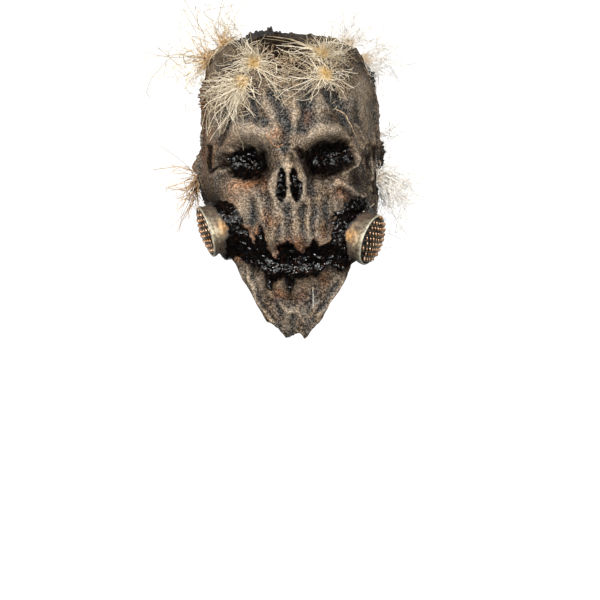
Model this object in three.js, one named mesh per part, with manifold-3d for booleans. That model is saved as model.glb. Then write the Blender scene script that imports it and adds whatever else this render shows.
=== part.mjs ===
// Scarecrow mask: a hollow latex sack with a sunken skull face, a filter can on each cheek and tufts of straw.
// Millimetres. +Z is up and the face looks along -Y. The origin is the inside of the crown, where a head bears.

import * as THREE from 'three';
import { mergeVertices } from 'three/addons/utils/BufferGeometryUtils.js';
import Module from 'manifold-3d';

const wasm = await Module();
wasm.setup();

const DEG = Math.PI / 180;
const GOLDEN_ANGLE = 137.5;

// Driving dimensions
const WALL = 2.5; // latex skin
const GAP = 0.4; // clearance between the skin and what is glued to it
const FRONT_COLUMNS = 36; // columns of the skin from seam to seam across the face
const BACK_COLUMNS = 12; // columns across the back of the sack
const SKIN_ROWS = 30; // rows of the skin from the crown to the rim
const LEVEL_ROWS = 16; // rows that keep one height all round, above the rim's rise and fall
const LEVEL_RING = 8; // ring at the last of those rows
const SEAM_ANGLE = 90; // side seams, in degrees round from the front
const SEAM_HALF_WIDTH = 6;
const LEAN = 0.035; // sideways lean of the sack towards -X, for each unit of height
const LEAN_LEVEL = -130; // height where the lean leaves it in the middle

// Rings of the sack from the crown down. z is a ring's height, mid the depth of its widest point, wide its half
// width there, ahead its reach forward of mid and behind its reach back of mid.
const RINGS = [
  { z: 2.5, mid: 6, wide: 0, ahead: 0, behind: 0 },
  { z: 0.5, mid: 5, wide: 25, ahead: 27, behind: 27 },
  { z: -5, mid: 4, wide: 47, ahead: 48, behind: 50 },
  { z: -13, mid: 3, wide: 62, ahead: 67, behind: 69 },
  { z: -24, mid: 2, wide: 72, ahead: 82, behind: 85 },
  { z: -39, mid: 2, wide: 78, ahead: 94, behind: 96 },
  { z: -58, mid: 2, wide: 83, ahead: 101, behind: 103 },
  { z: -80, mid: 2, wide: 83.5, ahead: 105, behind: 107 },
  { z: -104, mid: 2, wide: 84, ahead: 106, behind: 107 },
  { z: -128, mid: 1, wide: 85, ahead: 104, behind: 103 },
  { z: -152, mid: 0, wide: 84.5, ahead: 103, behind: 98 },
  { z: -176, mid: -4, wide: 81, ahead: 99, behind: 93 },
  { z: -200, mid: -12, wide: 77, ahead: 91, behind: 90 },
  { z: -224, mid: -22, wide: 72, ahead: 79, behind: 88 },
  { z: -250, mid: -32, wide: 67, ahead: 66, behind: 86 },
  { z: -276, mid: -42, wide: 61, ahead: 51, behind: 84 },
  { z: -304, mid: -50, wide: 54, ahead: 36, behind: 82 },
];

// Height of the open rim by angle round from the front: a notched chin, a jaw line that climbs to the ear, a nape.
const RIM = [
  { angle: 0, z: -295.5 },
  { angle: 10, z: -300 },
  { angle: 18, z: -291 },
  { angle: 27, z: -280 },
  { angle: 32, z: -267 },
  { angle: 41, z: -254 },
  { angle: 57, z: -229 },
  { angle: 66, z: -219 },
  { angle: 78, z: -213 },
  { angle: 90, z: -206 },
  { angle: 99, z: -186 },
  { angle: 108, z: -171 },
  { angle: 120, z: -166 },
  { angle: 180, z: -165 },
];

// Dents (lift below zero) and swellings of the face. x and z are the middle seen from the front, wide and high the
// half sizes, tilt turns them anticlockwise in degrees, and sharp above 1 gives a flatter floor with steeper sides.
const RELIEF = {
  eye_socket_left: { x: -41.5, z: -128, wide: 22, high: 20, tilt: -8, lift: -18, sharp: 1.6 },
  eye_socket_right: { x: 40, z: -126, wide: 25, high: 18, tilt: 14, lift: -18, sharp: 1.6 },
  brow_left: { x: -40, z: -101, wide: 26, high: 8, tilt: -6, lift: 5, sharp: 1 },
  brow_right: { x: 40, z: -100, wide: 26, high: 8, tilt: 8, lift: 5, sharp: 1 },
  nose_bridge: { x: -1, z: -133, wide: 11, high: 22, tilt: 0, lift: 7, sharp: 1 },
  nose_end: { x: -1, z: -157, wide: 18, high: 16, tilt: 0, lift: 7, sharp: 1.2 },
  cheekbone_left: { x: -62, z: -152, wide: 18, high: 11, tilt: 22, lift: 5, sharp: 1 },
  cheekbone_right: { x: 63, z: -151, wide: 18, high: 11, tilt: -22, lift: 5, sharp: 1 },
  cheek_left: { x: -40, z: -186, wide: 15, high: 20, tilt: 0, lift: -5, sharp: 1 },
  cheek_right: { x: 42, z: -186, wide: 15, high: 20, tilt: 0, lift: -5, sharp: 1 },
  muzzle: { x: 0, z: -193, wide: 28, high: 20, tilt: 0, lift: 4, sharp: 1 },
  mouth: { x: 0, z: -226, wide: 58, high: 17, tilt: 0, lift: -10, sharp: 2 },
  lower_lip: { x: 0, z: -252, wide: 28, high: 8, tilt: 0, lift: 3, sharp: 1 },
  chin: { x: 2, z: -276, wide: 18, high: 15, tilt: 0, lift: 4, sharp: 1 },
  temple_left: { x: -72, z: -96, wide: 12, high: 22, tilt: 8, lift: -4, sharp: 1 },
  temple_right: { x: 72, z: -94, wide: 12, high: 22, tilt: -8, lift: -4, sharp: 1 },
  furrow_mid: { x: -6, z: -84, wide: 7, high: 26, tilt: 22, lift: -4, sharp: 1 },
  furrow_left: { x: -33, z: -72, wide: 9, high: 15, tilt: -10, lift: -3, sharp: 1 },
  furrow_right: { x: 19, z: -78, wide: 7, high: 16, tilt: -4, lift: -4, sharp: 1 },
  furrow_far_right: { x: 48, z: -72, wide: 8, high: 16, tilt: 24, lift: -4, sharp: 1 },
};

// Height of the puckered side seams above the skin, with the sack's corners and the torn flaps at the ears.
const SEAMS = [
  { z: 2, left: 2, right: 2 },
  { z: -10, left: 4, right: 4 },
  { z: -20, left: 8, right: 7 },
  { z: -32, left: 4, right: 4 },
  { z: -104, left: 4, right: 5 },
  { z: -118, left: 6, right: 9 },
  { z: -129, left: 11, right: 7 },
  { z: -140, left: 8, right: 3 },
  { z: -154, left: 4, right: 4 },
  { z: -206, left: 3, right: 3 },
];

// Openings through the skin, seen from the front.
const FACE_HOLES = {
  eye_left: { x: -39, z: -128, wide: 9, high: 6, tilt: 0 },
  eye_right: { x: 40, z: -126, wide: 9, high: 6, tilt: 14 },
  nostril_left: { x: -8.5, z: -160, wide: 3.2, high: 6.5, tilt: 0 },
  nostril_right: { x: 7, z: -159, wide: 3.2, high: 6.5, tilt: 7 },
};
const HOLE_BACK = -60; // depth where the cutters of those openings start
const HOLE_REACH = 80; // how far they run forward
const HOLE_SEGMENTS = 4; // sides of a quarter of an opening

// Filter cans. mouth is the middle of the open end and aim the way that it faces.
const CANS = {
  left: { mouth: [-83, -62, -197], aim: [-0.928, -0.2, -0.314] },
  right: { mouth: [81, -64, -205], aim: [0.876, -0.37, -0.31] },
};
const CAN_RADIUS = 25.6;
const CAN_FOOT_RADIUS = 23.5;
const CAN_LENGTH = 46; // as cast, before its foot is trimmed to the cheek
const CAN_LIP = 2; // wall round the mouth
const CAN_LIP_HEIGHT = 4;
const CAN_SEAT = 2; // depth of the shelf that the grille lies on
const CAN_SHELF = 2;
const CAN_RECESS = 6; // depth of the hollow behind the grille
const CAN_SIDES = 20;
const GRILLE_THICKNESS = 1.2;
const GRILLE_RISE = 4; // height of the grille's dome
const GRILLE_GAP = 0.3;
const MESH_PITCH = 6.4;
const MESH_HOLE = 4.4;
const MESH_RADIUS = 22; // no hole reaches past this

// Tufts of straw. angle and z place the root on the skin, aim is the way the tuft sprays, or null for straight off
// the skin, reach the length of its longest lock and spread the half angle of its cone.
const TUFTS = {
  straw_corner_left_top: { angle: -88, z: -11, aim: [-0.35, -0.1, 0.9], reach: 52, spread: 42, locks: 7 },
  straw_corner_left: { angle: -90, z: -26, aim: [-0.95, -0.1, 0.1], reach: 58, spread: 62, locks: 8 },
  straw_brow_left_upper: { angle: -24, z: -33, aim: null, reach: 46, spread: 86, locks: 7 },
  straw_brow_left_lower: { angle: -32, z: -52, aim: [-0.6, -0.65, -0.4], reach: 48, spread: 70, locks: 7 },
  straw_brow_right_upper: { angle: 29, z: -23, aim: null, reach: 46, spread: 86, locks: 7 },
  straw_brow_right_lower: { angle: 28, z: -44, aim: null, reach: 44, spread: 84, locks: 7 },
  straw_corner_right_top: { angle: 88, z: -11, aim: [0.15, -0.05, 1], reach: 52, spread: 38, locks: 7 },
  straw_corner_right: { angle: 90, z: -26, aim: [1, -0.05, -0.05], reach: 58, spread: 48, locks: 8 },
  straw_seam_right: { angle: 94, z: -98, aim: [0.95, 0.3, 0.05], reach: 28, spread: 45, locks: 5 },
  straw_ear_left: { angle: -93, z: -138, aim: [-0.7, 0.1, -0.65], reach: 56, spread: 40, locks: 8 },
  straw_ear_right: { angle: 93, z: -140, aim: [0.85, 0.1, -0.45], reach: 58, spread: 40, locks: 8 },
};
const ROOT_RADIUS = 4.5;
const LOCK_RADIUS = 3;
const LOCK_SIDES = 3;
const LOCK_THICKEST = 0.4; // where a lock is thickest, as a share of its length
const LOCK_DROOP = 0.16; // fall of a lock's end, as a share of its reach
const LOCK_SHORTEST = 0.68; // length of the shortest lock, as a share of the longest

const LOOKS = {
  skin: { color: 0x6e6152, roughness: 0.85, metalness: 0 },
  can: { color: 0xa59a80, roughness: 0.55, metalness: 0.1 },
  grille: { color: 0x8a5f42, roughness: 0.45, metalness: 0.7 },
  straw: { color: 0xd8c194, roughness: 0.8, metalness: 0 },
};

// Straight-line reading of a table whose first column, key, rises or falls steadily.
function readTable(table, key, value, at) {
  const falling = table[0][key] > table[table.length - 1][key];
  const found = table.findIndex((row) => (falling ? row[key] <= at : row[key] >= at));
  if (found === 0) return table[0][value];
  if (found < 0) return table[table.length - 1][value];
  const [a, b] = [table[found - 1], table[found]];
  return THREE.MathUtils.mapLinear(at, a[key], b[key], a[value], b[value]);
}

// Smooth reading of a column of RINGS. The crown is a pole, so past it a width counts as negative.
function ringValue(column, ring) {
  const last = RINGS.length - 1;
  const before = THREE.MathUtils.clamp(Math.floor(ring), 0, last - 1);
  const sign = column === 'z' || column === 'mid' ? 1 : -1;
  const at = (i) => (i < 0 ? sign * RINGS[-i][column] : RINGS[Math.min(i, last)][column]);
  const t = ring - before;
  const [p0, p1, p2, p3] = [-1, 0, 1, 2].map((step) => at(before + step));
  const [slope1, slope2] = [(p2 - p0) / 2, (p3 - p1) / 2];
  const bend2 = 3 * (p2 - p1) - 2 * slope1 - slope2;
  const bend3 = 2 * (p1 - p2) + slope1 + slope2;
  return p1 + t * (slope1 + t * (bend2 + t * bend3));
}

// Ring at a height, by halving.
function ringAtHeight(z) {
  let [above, below] = [0, RINGS.length - 1];
  for (let step = 0; step < 40; step += 1) {
    const middle = (above + below) / 2;
    if (ringValue('z', middle) > z) above = middle;
    else below = middle;
  }
  return (above + below) / 2;
}

// Point of the plain sack, before dents and seams. angle is in degrees round from the front, towards +X.
function sackPoint(angle, ring) {
  const [side, front] = [Math.sin(angle * DEG), Math.cos(angle * DEG)];
  const depth = ringValue(front > 0 ? 'ahead' : 'behind', ring);
  const z = ringValue('z', ring);
  return new THREE.Vector3(
    ringValue('wide', ring) * side - LEAN * (z - LEAN_LEVEL),
    ringValue('mid', ring) - depth * front,
    z,
  );
}

function sackNormal(angle, ring) {
  const nearPole = Math.max(ring, 0.05);
  const across = sackPoint(angle + 0.5, nearPole).sub(sackPoint(angle - 0.5, nearPole));
  const down = sackPoint(angle, nearPole + 0.02).sub(sackPoint(angle, nearPole - 0.02));
  return across.cross(down).normalize().negate();
}

// Lift of one row of RELIEF at a point seen from the front.
function bump(row, x, z) {
  const [c, s] = [Math.cos(row.tilt * DEG), Math.sin(row.tilt * DEG)];
  const along = (c * (x - row.x) + s * (z - row.z)) / row.wide;
  const up = (c * (z - row.z) - s * (x - row.x)) / row.high;
  return row.lift * Math.exp(-((along * along + up * up) ** row.sharp));
}

// Point of the finished outside, dents and seams included.
function skinPoint(angle, ring) {
  const point = sackPoint(angle, ring);
  const facing = THREE.MathUtils.smoothstep(Math.cos(angle * DEG), 0, 0.25);
  const face = Object.values(RELIEF).reduce((sum, row) => sum + bump(row, point.x, point.z), 0);
  const offSeam = ((Math.abs(angle) - SEAM_ANGLE) * DEG * ringValue('wide', ring)) / SEAM_HALF_WIDTH;
  const height = readTable(SEAMS, 'z', angle < 0 ? 'left' : 'right', point.z);
  const seam = height * Math.exp(-offSeam * offSeam) * Math.min(ring, 1);
  return point.addScaledVector(sackNormal(angle, ring), facing * face + seam);
}

// Angles of the skin's columns, close together across the face.
function columnAngles() {
  const faceStep = (2 * SEAM_ANGLE) / FRONT_COLUMNS;
  const backStep = (360 - 2 * SEAM_ANGLE) / BACK_COLUMNS;
  const face = Array.from({ length: FRONT_COLUMNS }, (_, i) => -SEAM_ANGLE + i * faceStep);
  const back = Array.from({ length: BACK_COLUMNS }, (_, i) => SEAM_ANGLE + i * backStep);
  return [...face, ...back.map((angle) => (angle > 180 ? angle - 360 : angle))];
}

// The outside as an open grid: one vertex at the crown, then SKIN_ROWS rings that end at the rim.
function skinSurface() {
  const angles = columnAngles();
  const rimRings = angles.map((angle) => ringAtHeight(readTable(RIM, 'angle', 'z', Math.abs(angle))));
  const points = [skinPoint(0, 0)];
  for (let row = 1; row <= SKIN_ROWS; row += 1) {
    const fall = (row - LEVEL_ROWS) / (SKIN_ROWS - LEVEL_ROWS);
    angles.forEach((angle, column) => {
      const level = (LEVEL_RING * row) / LEVEL_ROWS;
      const ring = fall > 0 ? THREE.MathUtils.lerp(LEVEL_RING, rimRings[column], fall) : level;
      points.push(skinPoint(angle, ring));
    });
  }
  const columns = angles.length;
  const vertex = (row, column) => 1 + (row - 1) * columns + (column % columns);
  const triangles = [];
  for (let column = 0; column < columns; column += 1) {
    triangles.push(0, vertex(1, column), vertex(1, column + 1));
    for (let row = 1; row < SKIN_ROWS; row += 1) {
      const [a, b] = [vertex(row, column), vertex(row, column + 1)];
      const [c, d] = [vertex(row + 1, column), vertex(row + 1, column + 1)];
      triangles.push(a, c, d, a, d, b);
    }
  }
  const rim = angles.map((_, column) => vertex(SKIN_ROWS, column));
  const surface = new THREE.BufferGeometry().setFromPoints(points);
  surface.setIndex(triangles);
  surface.computeVertexNormals();
  return { surface, triangles, rim };
}

// The points of a surface moved along its normals.
function shifted(surface, distance) {
  const { position, normal } = surface.attributes;
  return Array.from({ length: position.count }, (_, i) =>
    new THREE.Vector3()
      .fromBufferAttribute(position, i)
      .addScaledVector(new THREE.Vector3().fromBufferAttribute(normal, i), distance),
  );
}

// A closed geometry as a solid, without the slivers that a lathe leaves on its axis.
function toSolid(geometry) {
  const bare = new THREE.BufferGeometry().setAttribute('position', geometry.getAttribute('position'));
  bare.setIndex(geometry.index);
  const merged = mergeVertices(bare, 1e-4);
  const corners = merged.index.array;
  const triVerts = [];
  for (let i = 0; i < corners.length; i += 3) {
    const [a, b, c] = corners.slice(i, i + 3);
    if (a !== b && b !== c && c !== a) triVerts.push(a, b, c);
  }
  const vertProperties = merged.attributes.position.array;
  const mesh = new wasm.Mesh({ numProp: 3, vertProperties, triVerts: new Uint32Array(triVerts) });
  return new wasm.Manifold(mesh);
}

// A solid as a named mesh with a material of its own.
function namedMesh(name, solid, look) {
  const { vertProperties, triVerts } = solid.getMesh();
  const geometry = new THREE.BufferGeometry();
  geometry.setAttribute('position', new THREE.BufferAttribute(vertProperties, 3));
  geometry.setIndex(new THREE.BufferAttribute(triVerts, 1));
  geometry.computeVertexNormals();
  const mesh = new THREE.Mesh(geometry, new THREE.MeshStandardMaterial(look));
  mesh.name = name;
  return mesh;
}

function indexedGeometry(points, triangles) {
  const geometry = new THREE.BufferGeometry().setFromPoints(points);
  geometry.setIndex(triangles);
  return geometry;
}

// The skin's wall: the outside, an inside one WALL deeper, and a strip round the rim that joins them.
function skinWall({ surface, triangles, rim }) {
  const outside = shifted(surface, 0);
  const inside = shifted(surface, -WALL);
  const count = outside.length;
  const faces = [...triangles];
  for (let i = 0; i < triangles.length; i += 3) {
    faces.push(count + triangles[i], count + triangles[i + 2], count + triangles[i + 1]);
  }
  rim.forEach((a, i) => {
    const b = rim[(i + 1) % rim.length];
    faces.push(a, count + a, count + b, a, count + b, b);
  });
  return toSolid(indexedGeometry([...outside, ...inside], faces));
}

// A full head-shaped form, one GAP proud of the skin, that trims whatever is glued on.
function trimForm({ surface, triangles, rim }) {
  const points = shifted(surface, GAP);
  const middle = new THREE.Vector3();
  rim.forEach((i) => middle.addScaledVector(points[i], 1 / rim.length));
  const faces = [...triangles];
  rim.forEach((a, i) => faces.push(a, points.length, rim[(i + 1) % rim.length]));
  return toSolid(indexedGeometry([...points, middle], faces));
}

// A straight oval cutter through the front wall.
function holeCutter({ x, z, wide, high, tilt }) {
  const oval = new THREE.Shape().absellipse(0, 0, wide, high, 0, 2 * Math.PI, false, tilt * DEG);
  const options = { depth: HOLE_REACH, bevelEnabled: false, curveSegments: HOLE_SEGMENTS * 4 };
  const cutter = new THREE.ExtrudeGeometry(oval, options);
  cutter.rotateX(90 * DEG).translate(x, HOLE_BACK, z);
  return toSolid(cutter);
}

// A filter can, standing on +Y with its mouth at the group's origin.
function canSolid() {
  const shelf = CAN_RADIUS - CAN_LIP - CAN_SHELF;
  const profile = [
    [0, -CAN_LENGTH],
    [CAN_FOOT_RADIUS, -CAN_LENGTH],
    [CAN_RADIUS - 1, -CAN_LIP_HEIGHT],
    [CAN_RADIUS, -CAN_LIP_HEIGHT],
    [CAN_RADIUS, 0],
    [CAN_RADIUS - CAN_LIP, 0],
    [CAN_RADIUS - CAN_LIP, -CAN_SEAT],
    [shelf, -CAN_SEAT],
    [shelf, -CAN_RECESS],
    [0, -CAN_RECESS],
  ];
  const outline = profile.map(([radius, height]) => new THREE.Vector2(radius, height));
  return toSolid(new THREE.LatheGeometry(outline, CAN_SIDES));
}

// The pierced dome in a can's mouth, in rows of square holes.
function grilleSolid() {
  const radius = CAN_RADIUS - CAN_LIP - GRILLE_GAP;
  const height = (r) => GRILLE_GAP - CAN_SEAT + GRILLE_RISE * (1 - (r / radius) ** 2);
  const steps = [0, 0.5, 1].map((share) => share * radius);
  const under = steps.map((r) => new THREE.Vector2(r, height(r)));
  const over = steps.map((r) => new THREE.Vector2(r, height(r) + GRILLE_THICKNESS)).reverse();
  let dome = toSolid(new THREE.LatheGeometry([...under, ...over], CAN_SIDES));
  const half = MESH_HOLE / 2;
  const most = Math.floor(MESH_RADIUS / MESH_PITCH);
  for (let row = -most; row <= most; row += 1) {
    for (let column = -most; column <= most; column += 1) {
      const [x, z] = [column * MESH_PITCH, row * MESH_PITCH];
      if (Math.hypot(Math.abs(x) + half, Math.abs(z) + half) > MESH_RADIUS) continue;
      const hole = new THREE.BoxGeometry(MESH_HOLE, 4 * GRILLE_RISE, MESH_HOLE).translate(x, 0, z);
      dome = dome.subtract(toSolid(hole));
    }
  }
  return dome;
}

// A can and its grille in a group of their own, the can's foot trimmed to the cheek.
function filterGroup(side, { mouth, aim }, form) {
  const group = new THREE.Group();
  group.position.set(...mouth);
  group.quaternion.setFromUnitVectors(new THREE.Vector3(0, 1, 0), new THREE.Vector3(...aim).normalize());
  group.updateMatrix();
  const cheek = form.transform(group.matrix.clone().invert().toArray());
  const can = namedMesh(`filter_can_${side}`, canSolid().subtract(cheek), LOOKS.can);
  const grille = namedMesh(`filter_grille_${side}`, grilleSolid(), LOOKS.grille);
  return group.add(can, grille);
}

// One lock of straw along +Y: a slim spindle with a pointed end.
function lockGeometry(length, radius) {
  const profile = [
    [0, 0],
    [radius, length * LOCK_THICKEST],
    [0, length],
  ];
  return new THREE.LatheGeometry(profile.map(([r, y]) => new THREE.Vector2(r, y)), LOCK_SIDES);
}

// A tuft: a round root on the skin with drooping locks fused to it. spare thickens it all over.
function tuftSolid({ angle, z, aim, reach, spread, locks }, spare) {
  const ring = ringAtHeight(z);
  const normal = sackNormal(angle, ring);
  const root = skinPoint(angle, ring).addScaledVector(normal, GAP + ROOT_RADIUS / 2);
  const axis = aim ? new THREE.Vector3(...aim).normalize() : normal;
  const lean = new THREE.Quaternion().setFromUnitVectors(new THREE.Vector3(0, 1, 0), axis);
  let solid = toSolid(new THREE.SphereGeometry(ROOT_RADIUS + spare, 6, 3).translate(...root));
  for (let i = 0; i < locks; i += 1) {
    const length = reach * THREE.MathUtils.lerp(1, LOCK_SHORTEST, (i % 3) / 2);
    const tilt = spread * Math.sqrt((i + 0.5) / locks);
    const lock = lockGeometry(length + spare, LOCK_RADIUS + spare);
    lock.rotateZ(-tilt * DEG).rotateY(i * GOLDEN_ANGLE * DEG).applyQuaternion(lean);
    const { position } = lock.attributes;
    for (let v = 0; v < position.count; v += 1) {
      const out = Math.hypot(position.getX(v), position.getY(v), position.getZ(v)) / reach;
      position.setZ(v, position.getZ(v) - LOCK_DROOP * reach * out * out);
    }
    solid = solid.add(toSolid(lock.translate(...root)));
  }
  return solid;
}

// The tufts, each trimmed clear of the skin and of the tufts before it. A lock that this cuts off is dropped.
function tuftMeshes(form) {
  let taken = form;
  return Object.entries(TUFTS).map(([name, tuft]) => {
    const pieces = tuftSolid(tuft, 0).subtract(taken).decompose();
    const whole = pieces.reduce((most, piece) => (piece.volume() > most.volume() ? piece : most));
    taken = taken.add(tuftSolid(tuft, 2 * GAP));
    return namedMesh(name, whole, LOOKS.straw);
  });
}

const skin = skinSurface();
const form = trimForm(skin);
const pierced = Object.values(FACE_HOLES).reduce((wall, hole) => wall.subtract(holeCutter(hole)), skinWall(skin));

const mask = new THREE.Group();
mask.add(namedMesh('mask_shell', pierced, LOOKS.skin));
Object.entries(CANS).forEach(([side, can]) => mask.add(filterGroup(side, can, form)));
mask.add(...tuftMeshes(form));

export default mask;
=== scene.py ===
# %% [markdown]
# # A scarecrow mask
#
# The real mask is a hollow latex casting, sculpted and painted to look like a burlap sack pulled over a
# skull. Black gloss tar fills its eyes and mouth, a filter can is glued to each cheek, and tufts of straw
# stick out.
#
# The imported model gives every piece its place. This lesson rebuilds each piece in that place, with the fine
# shape and the finish that the solids leave out.

import math
from types import SimpleNamespace

import bpy
import numpy as np
from mathutils import Matrix, Vector


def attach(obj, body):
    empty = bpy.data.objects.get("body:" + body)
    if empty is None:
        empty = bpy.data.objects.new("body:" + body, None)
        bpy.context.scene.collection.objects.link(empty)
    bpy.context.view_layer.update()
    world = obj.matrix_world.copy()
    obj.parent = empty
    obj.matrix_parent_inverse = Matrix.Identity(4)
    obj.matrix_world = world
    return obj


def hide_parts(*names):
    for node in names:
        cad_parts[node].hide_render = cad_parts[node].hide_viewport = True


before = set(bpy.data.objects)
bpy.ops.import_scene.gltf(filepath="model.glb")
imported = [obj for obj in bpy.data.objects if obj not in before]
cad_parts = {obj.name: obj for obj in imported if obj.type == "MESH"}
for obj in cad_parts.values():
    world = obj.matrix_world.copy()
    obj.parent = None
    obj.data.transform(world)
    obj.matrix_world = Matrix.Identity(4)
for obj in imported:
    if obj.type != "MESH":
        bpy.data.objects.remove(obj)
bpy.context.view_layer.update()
MM = 0.001
print("nodes:", ", ".join(sorted(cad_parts)))

# %% [markdown]
# ## Camera, light and floor
#
# The photograph looks straight at the face from far away. A near camera would swell the nose, so a long
# lens stands three metres off, and at the middle of the head one pixel of the 600 pixel frame is one
# millimetre. Two soft boxes in front light the face evenly, and two small bulbs beside them give the wet
# tar its white glints. The floor sweeps up into a backdrop, as studio paper does, so that no edge shows
# behind the mask.

# %% Camera
CAMERA_DISTANCE = 3.0
FRAME_WIDTH = 0.6
FRAME_MIDDLE = (0.010, -0.2635)
SENSOR_WIDTH = 36.0

camera = bpy.data.objects.new("camera", bpy.data.cameras.new("camera"))
camera.data.sensor_width = SENSOR_WIDTH
camera.data.lens = SENSOR_WIDTH * CAMERA_DISTANCE / FRAME_WIDTH
camera.location = (FRAME_MIDDLE[0], -CAMERA_DISTANCE, FRAME_MIDDLE[1])
camera.rotation_euler = (math.radians(90), 0, 0)
bpy.context.collection.objects.link(camera)
bpy.context.scene.camera = camera
bpy.context.scene.view_settings.view_transform = "Standard"
print("lens", camera.data.lens, "mm")

# %% Colours and nodes
VECTOR_MATH = "ShaderNodeVectorMath"
MATH = "ShaderNodeMath"
MAP_RANGE = "ShaderNodeMapRange"
MIX = "ShaderNodeMix"
NOISE = "ShaderNodeTexNoise"
RANDOM = "FunctionNodeRandomValue"
COMBINE = "ShaderNodeCombineXYZ"
SET_POSITION = "GeometryNodeSetPosition"
REALIZE = "GeometryNodeRealizeInstances"
COLOUR = {"data_type": "RGBA"}
TIMES = {"operation": "MULTIPLY"}
MINUS = {"operation": "SUBTRACT"}
DIVIDE = {"operation": "DIVIDE"}
GREATER = {"operation": "MAXIMUM"}
SCALE = {"operation": "SCALE"}
TIMES_PLUS = {"operation": "MULTIPLY_ADD"}


def linear(hex_colour):
    """An sRGB hex colour as linear red, green, blue and alpha."""
    channels = [int(hex_colour[i : i + 2], 16) / 255 for i in (1, 3, 5)]
    return [c / 12.92 if c <= 0.04045 else ((c + 0.055) / 1.055) ** 2.4 for c in channels] + [1.0]


def feed(tree, node, links):
    """Links or sets a node's inputs, by name or number, from nodes, sockets, hex colours or plain values."""
    for key, source in links.items():
        named = [socket for socket in node.inputs if socket.enabled and socket.name == key]
        socket = named[0] if named else node.inputs[key]
        if isinstance(source, bpy.types.Node):
            source = next(outlet for outlet in source.outputs if outlet.enabled)
        if isinstance(source, bpy.types.NodeSocket):
            tree.links.new(source, socket)
        elif socket.type == "RGBA":
            socket.default_value = linear(source)
        else:
            socket.default_value = source


def add(tree, kind, links=None, **settings):
    """Adds a node of a kind, with its settings and what feeds its inputs."""
    node = tree.nodes.new(kind)
    for name, value in settings.items():
        setattr(node, name, value)
    feed(tree, node, links or {})
    return node


def new_material(name, roughness, **sockets):
    """A material, its tree and its shader, whose sockets are named with underscores for spaces."""
    material = bpy.data.materials.new(name)
    material.use_nodes = True
    shader = material.node_tree.nodes["Principled BSDF"]
    shader.inputs["Roughness"].default_value = roughness
    for socket, value in sockets.items():
        shader.inputs[socket.replace("_", " ")].default_value = value
    return material, material.node_tree, shader


# %% Lights
FACE_MIDDLE = (0, -0.08, -0.15)
BACKDROP_MIDDLE = (0, 3.5, 0.7)
LIGHTS = {  # place, aim, width, watts, spread of the beam in degrees
    "left soft box": ((-1.0, -1.8, 0.5), FACE_MIDDLE, 0.45, 1.62, 30),
    "right soft box": ((1.0, -1.8, 0.5), FACE_MIDDLE, 0.45, 1.62, 30),
    "left bulb": ((-0.7, -1.8, 0.35), FACE_MIDDLE, 0.04, 0.3, 30),
    "right bulb": ((0.7, -1.8, 0.35), FACE_MIDDLE, 0.04, 0.3, 30),
    "backdrop light": ((0, 1.5, 1.9), BACKDROP_MIDDLE, 2.4, 150, 180),
}
ROOM_LIGHT = 0.08


def square_light(name, place, aim, width, watts, spread):
    """A square area light at place that shines at aim."""
    light = bpy.data.lights.new(name, "AREA")
    light.size = width
    light.energy = watts
    light.spread = math.radians(spread)
    lamp = bpy.data.objects.new(name, light)
    lamp.location = place
    lamp.rotation_euler = (Vector(aim) - Vector(place)).to_track_quat("-Z", "Y").to_euler()
    bpy.context.collection.objects.link(lamp)


for light_name, light_row in LIGHTS.items():
    square_light(light_name, *light_row)
world = bpy.data.worlds.new("studio")
bpy.context.scene.world = world
world.use_nodes = True
world.node_tree.nodes["Background"].inputs["Color"].default_value = linear("#ffffff")
world.node_tree.nodes["Background"].inputs["Strength"].default_value = ROOM_LIGHT
print("lights:", ", ".join(LIGHTS))

# %% Floor and backdrop
FLOOR_HEIGHT = -0.8
FLOOR_NEAR = -1.0
PAPER_HALF_WIDTH = 8.0
SWEEP_START = 2.0
SWEEP_RADIUS = 1.5
SWEEP_POINTS = 17
WALL_TOP = 5.0


def studio_paper():
    """White paper that lies on the floor and sweeps up behind the mask."""
    turns = np.linspace(0, math.pi / 2, SWEEP_POINTS)
    sweep_y = SWEEP_START + SWEEP_RADIUS * np.sin(turns)
    sweep_z = FLOOR_HEIGHT + SWEEP_RADIUS * (1 - np.cos(turns))
    profile = [(FLOOR_NEAR, FLOOR_HEIGHT), *zip(sweep_y, sweep_z), (SWEEP_START + SWEEP_RADIUS, WALL_TOP)]
    places = [(x, y, z) for y, z in profile for x in (-PAPER_HALF_WIDTH, PAPER_HALF_WIDTH)]
    faces = [(2 * i, 2 * i + 1, 2 * i + 3, 2 * i + 2) for i in range(len(profile) - 1)]
    mesh = bpy.data.meshes.new("studio_paper")
    mesh.from_pydata(places, [], faces)
    mesh.shade_smooth()
    paper = bpy.data.objects.new("studio_paper", mesh)
    bpy.context.collection.objects.link(paper)
    material, _, shader = new_material("white background paper", 0.9)
    shader.inputs["Base Color"].default_value = linear("#cfcfcf")
    mesh.materials.append(material)
    print("paper faces:", len(faces))


studio_paper()

# %% [markdown]
# ## The shape of the sack
#
# The casting is a sack over a skull, so its skin is a surface over two numbers: the angle round from the
# front, and the ring down from the crown. A short table gives each ring's height, width and depth, a second
# one the height of the open rim, and a third the dents and swellings of the face. It could be sculpted by
# hand, but these are the tables that the solid was made from, so the skin lies on the solid. Here the
# surface is sampled about ten times as finely, and a mesh made from arrays keeps that quick.

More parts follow.
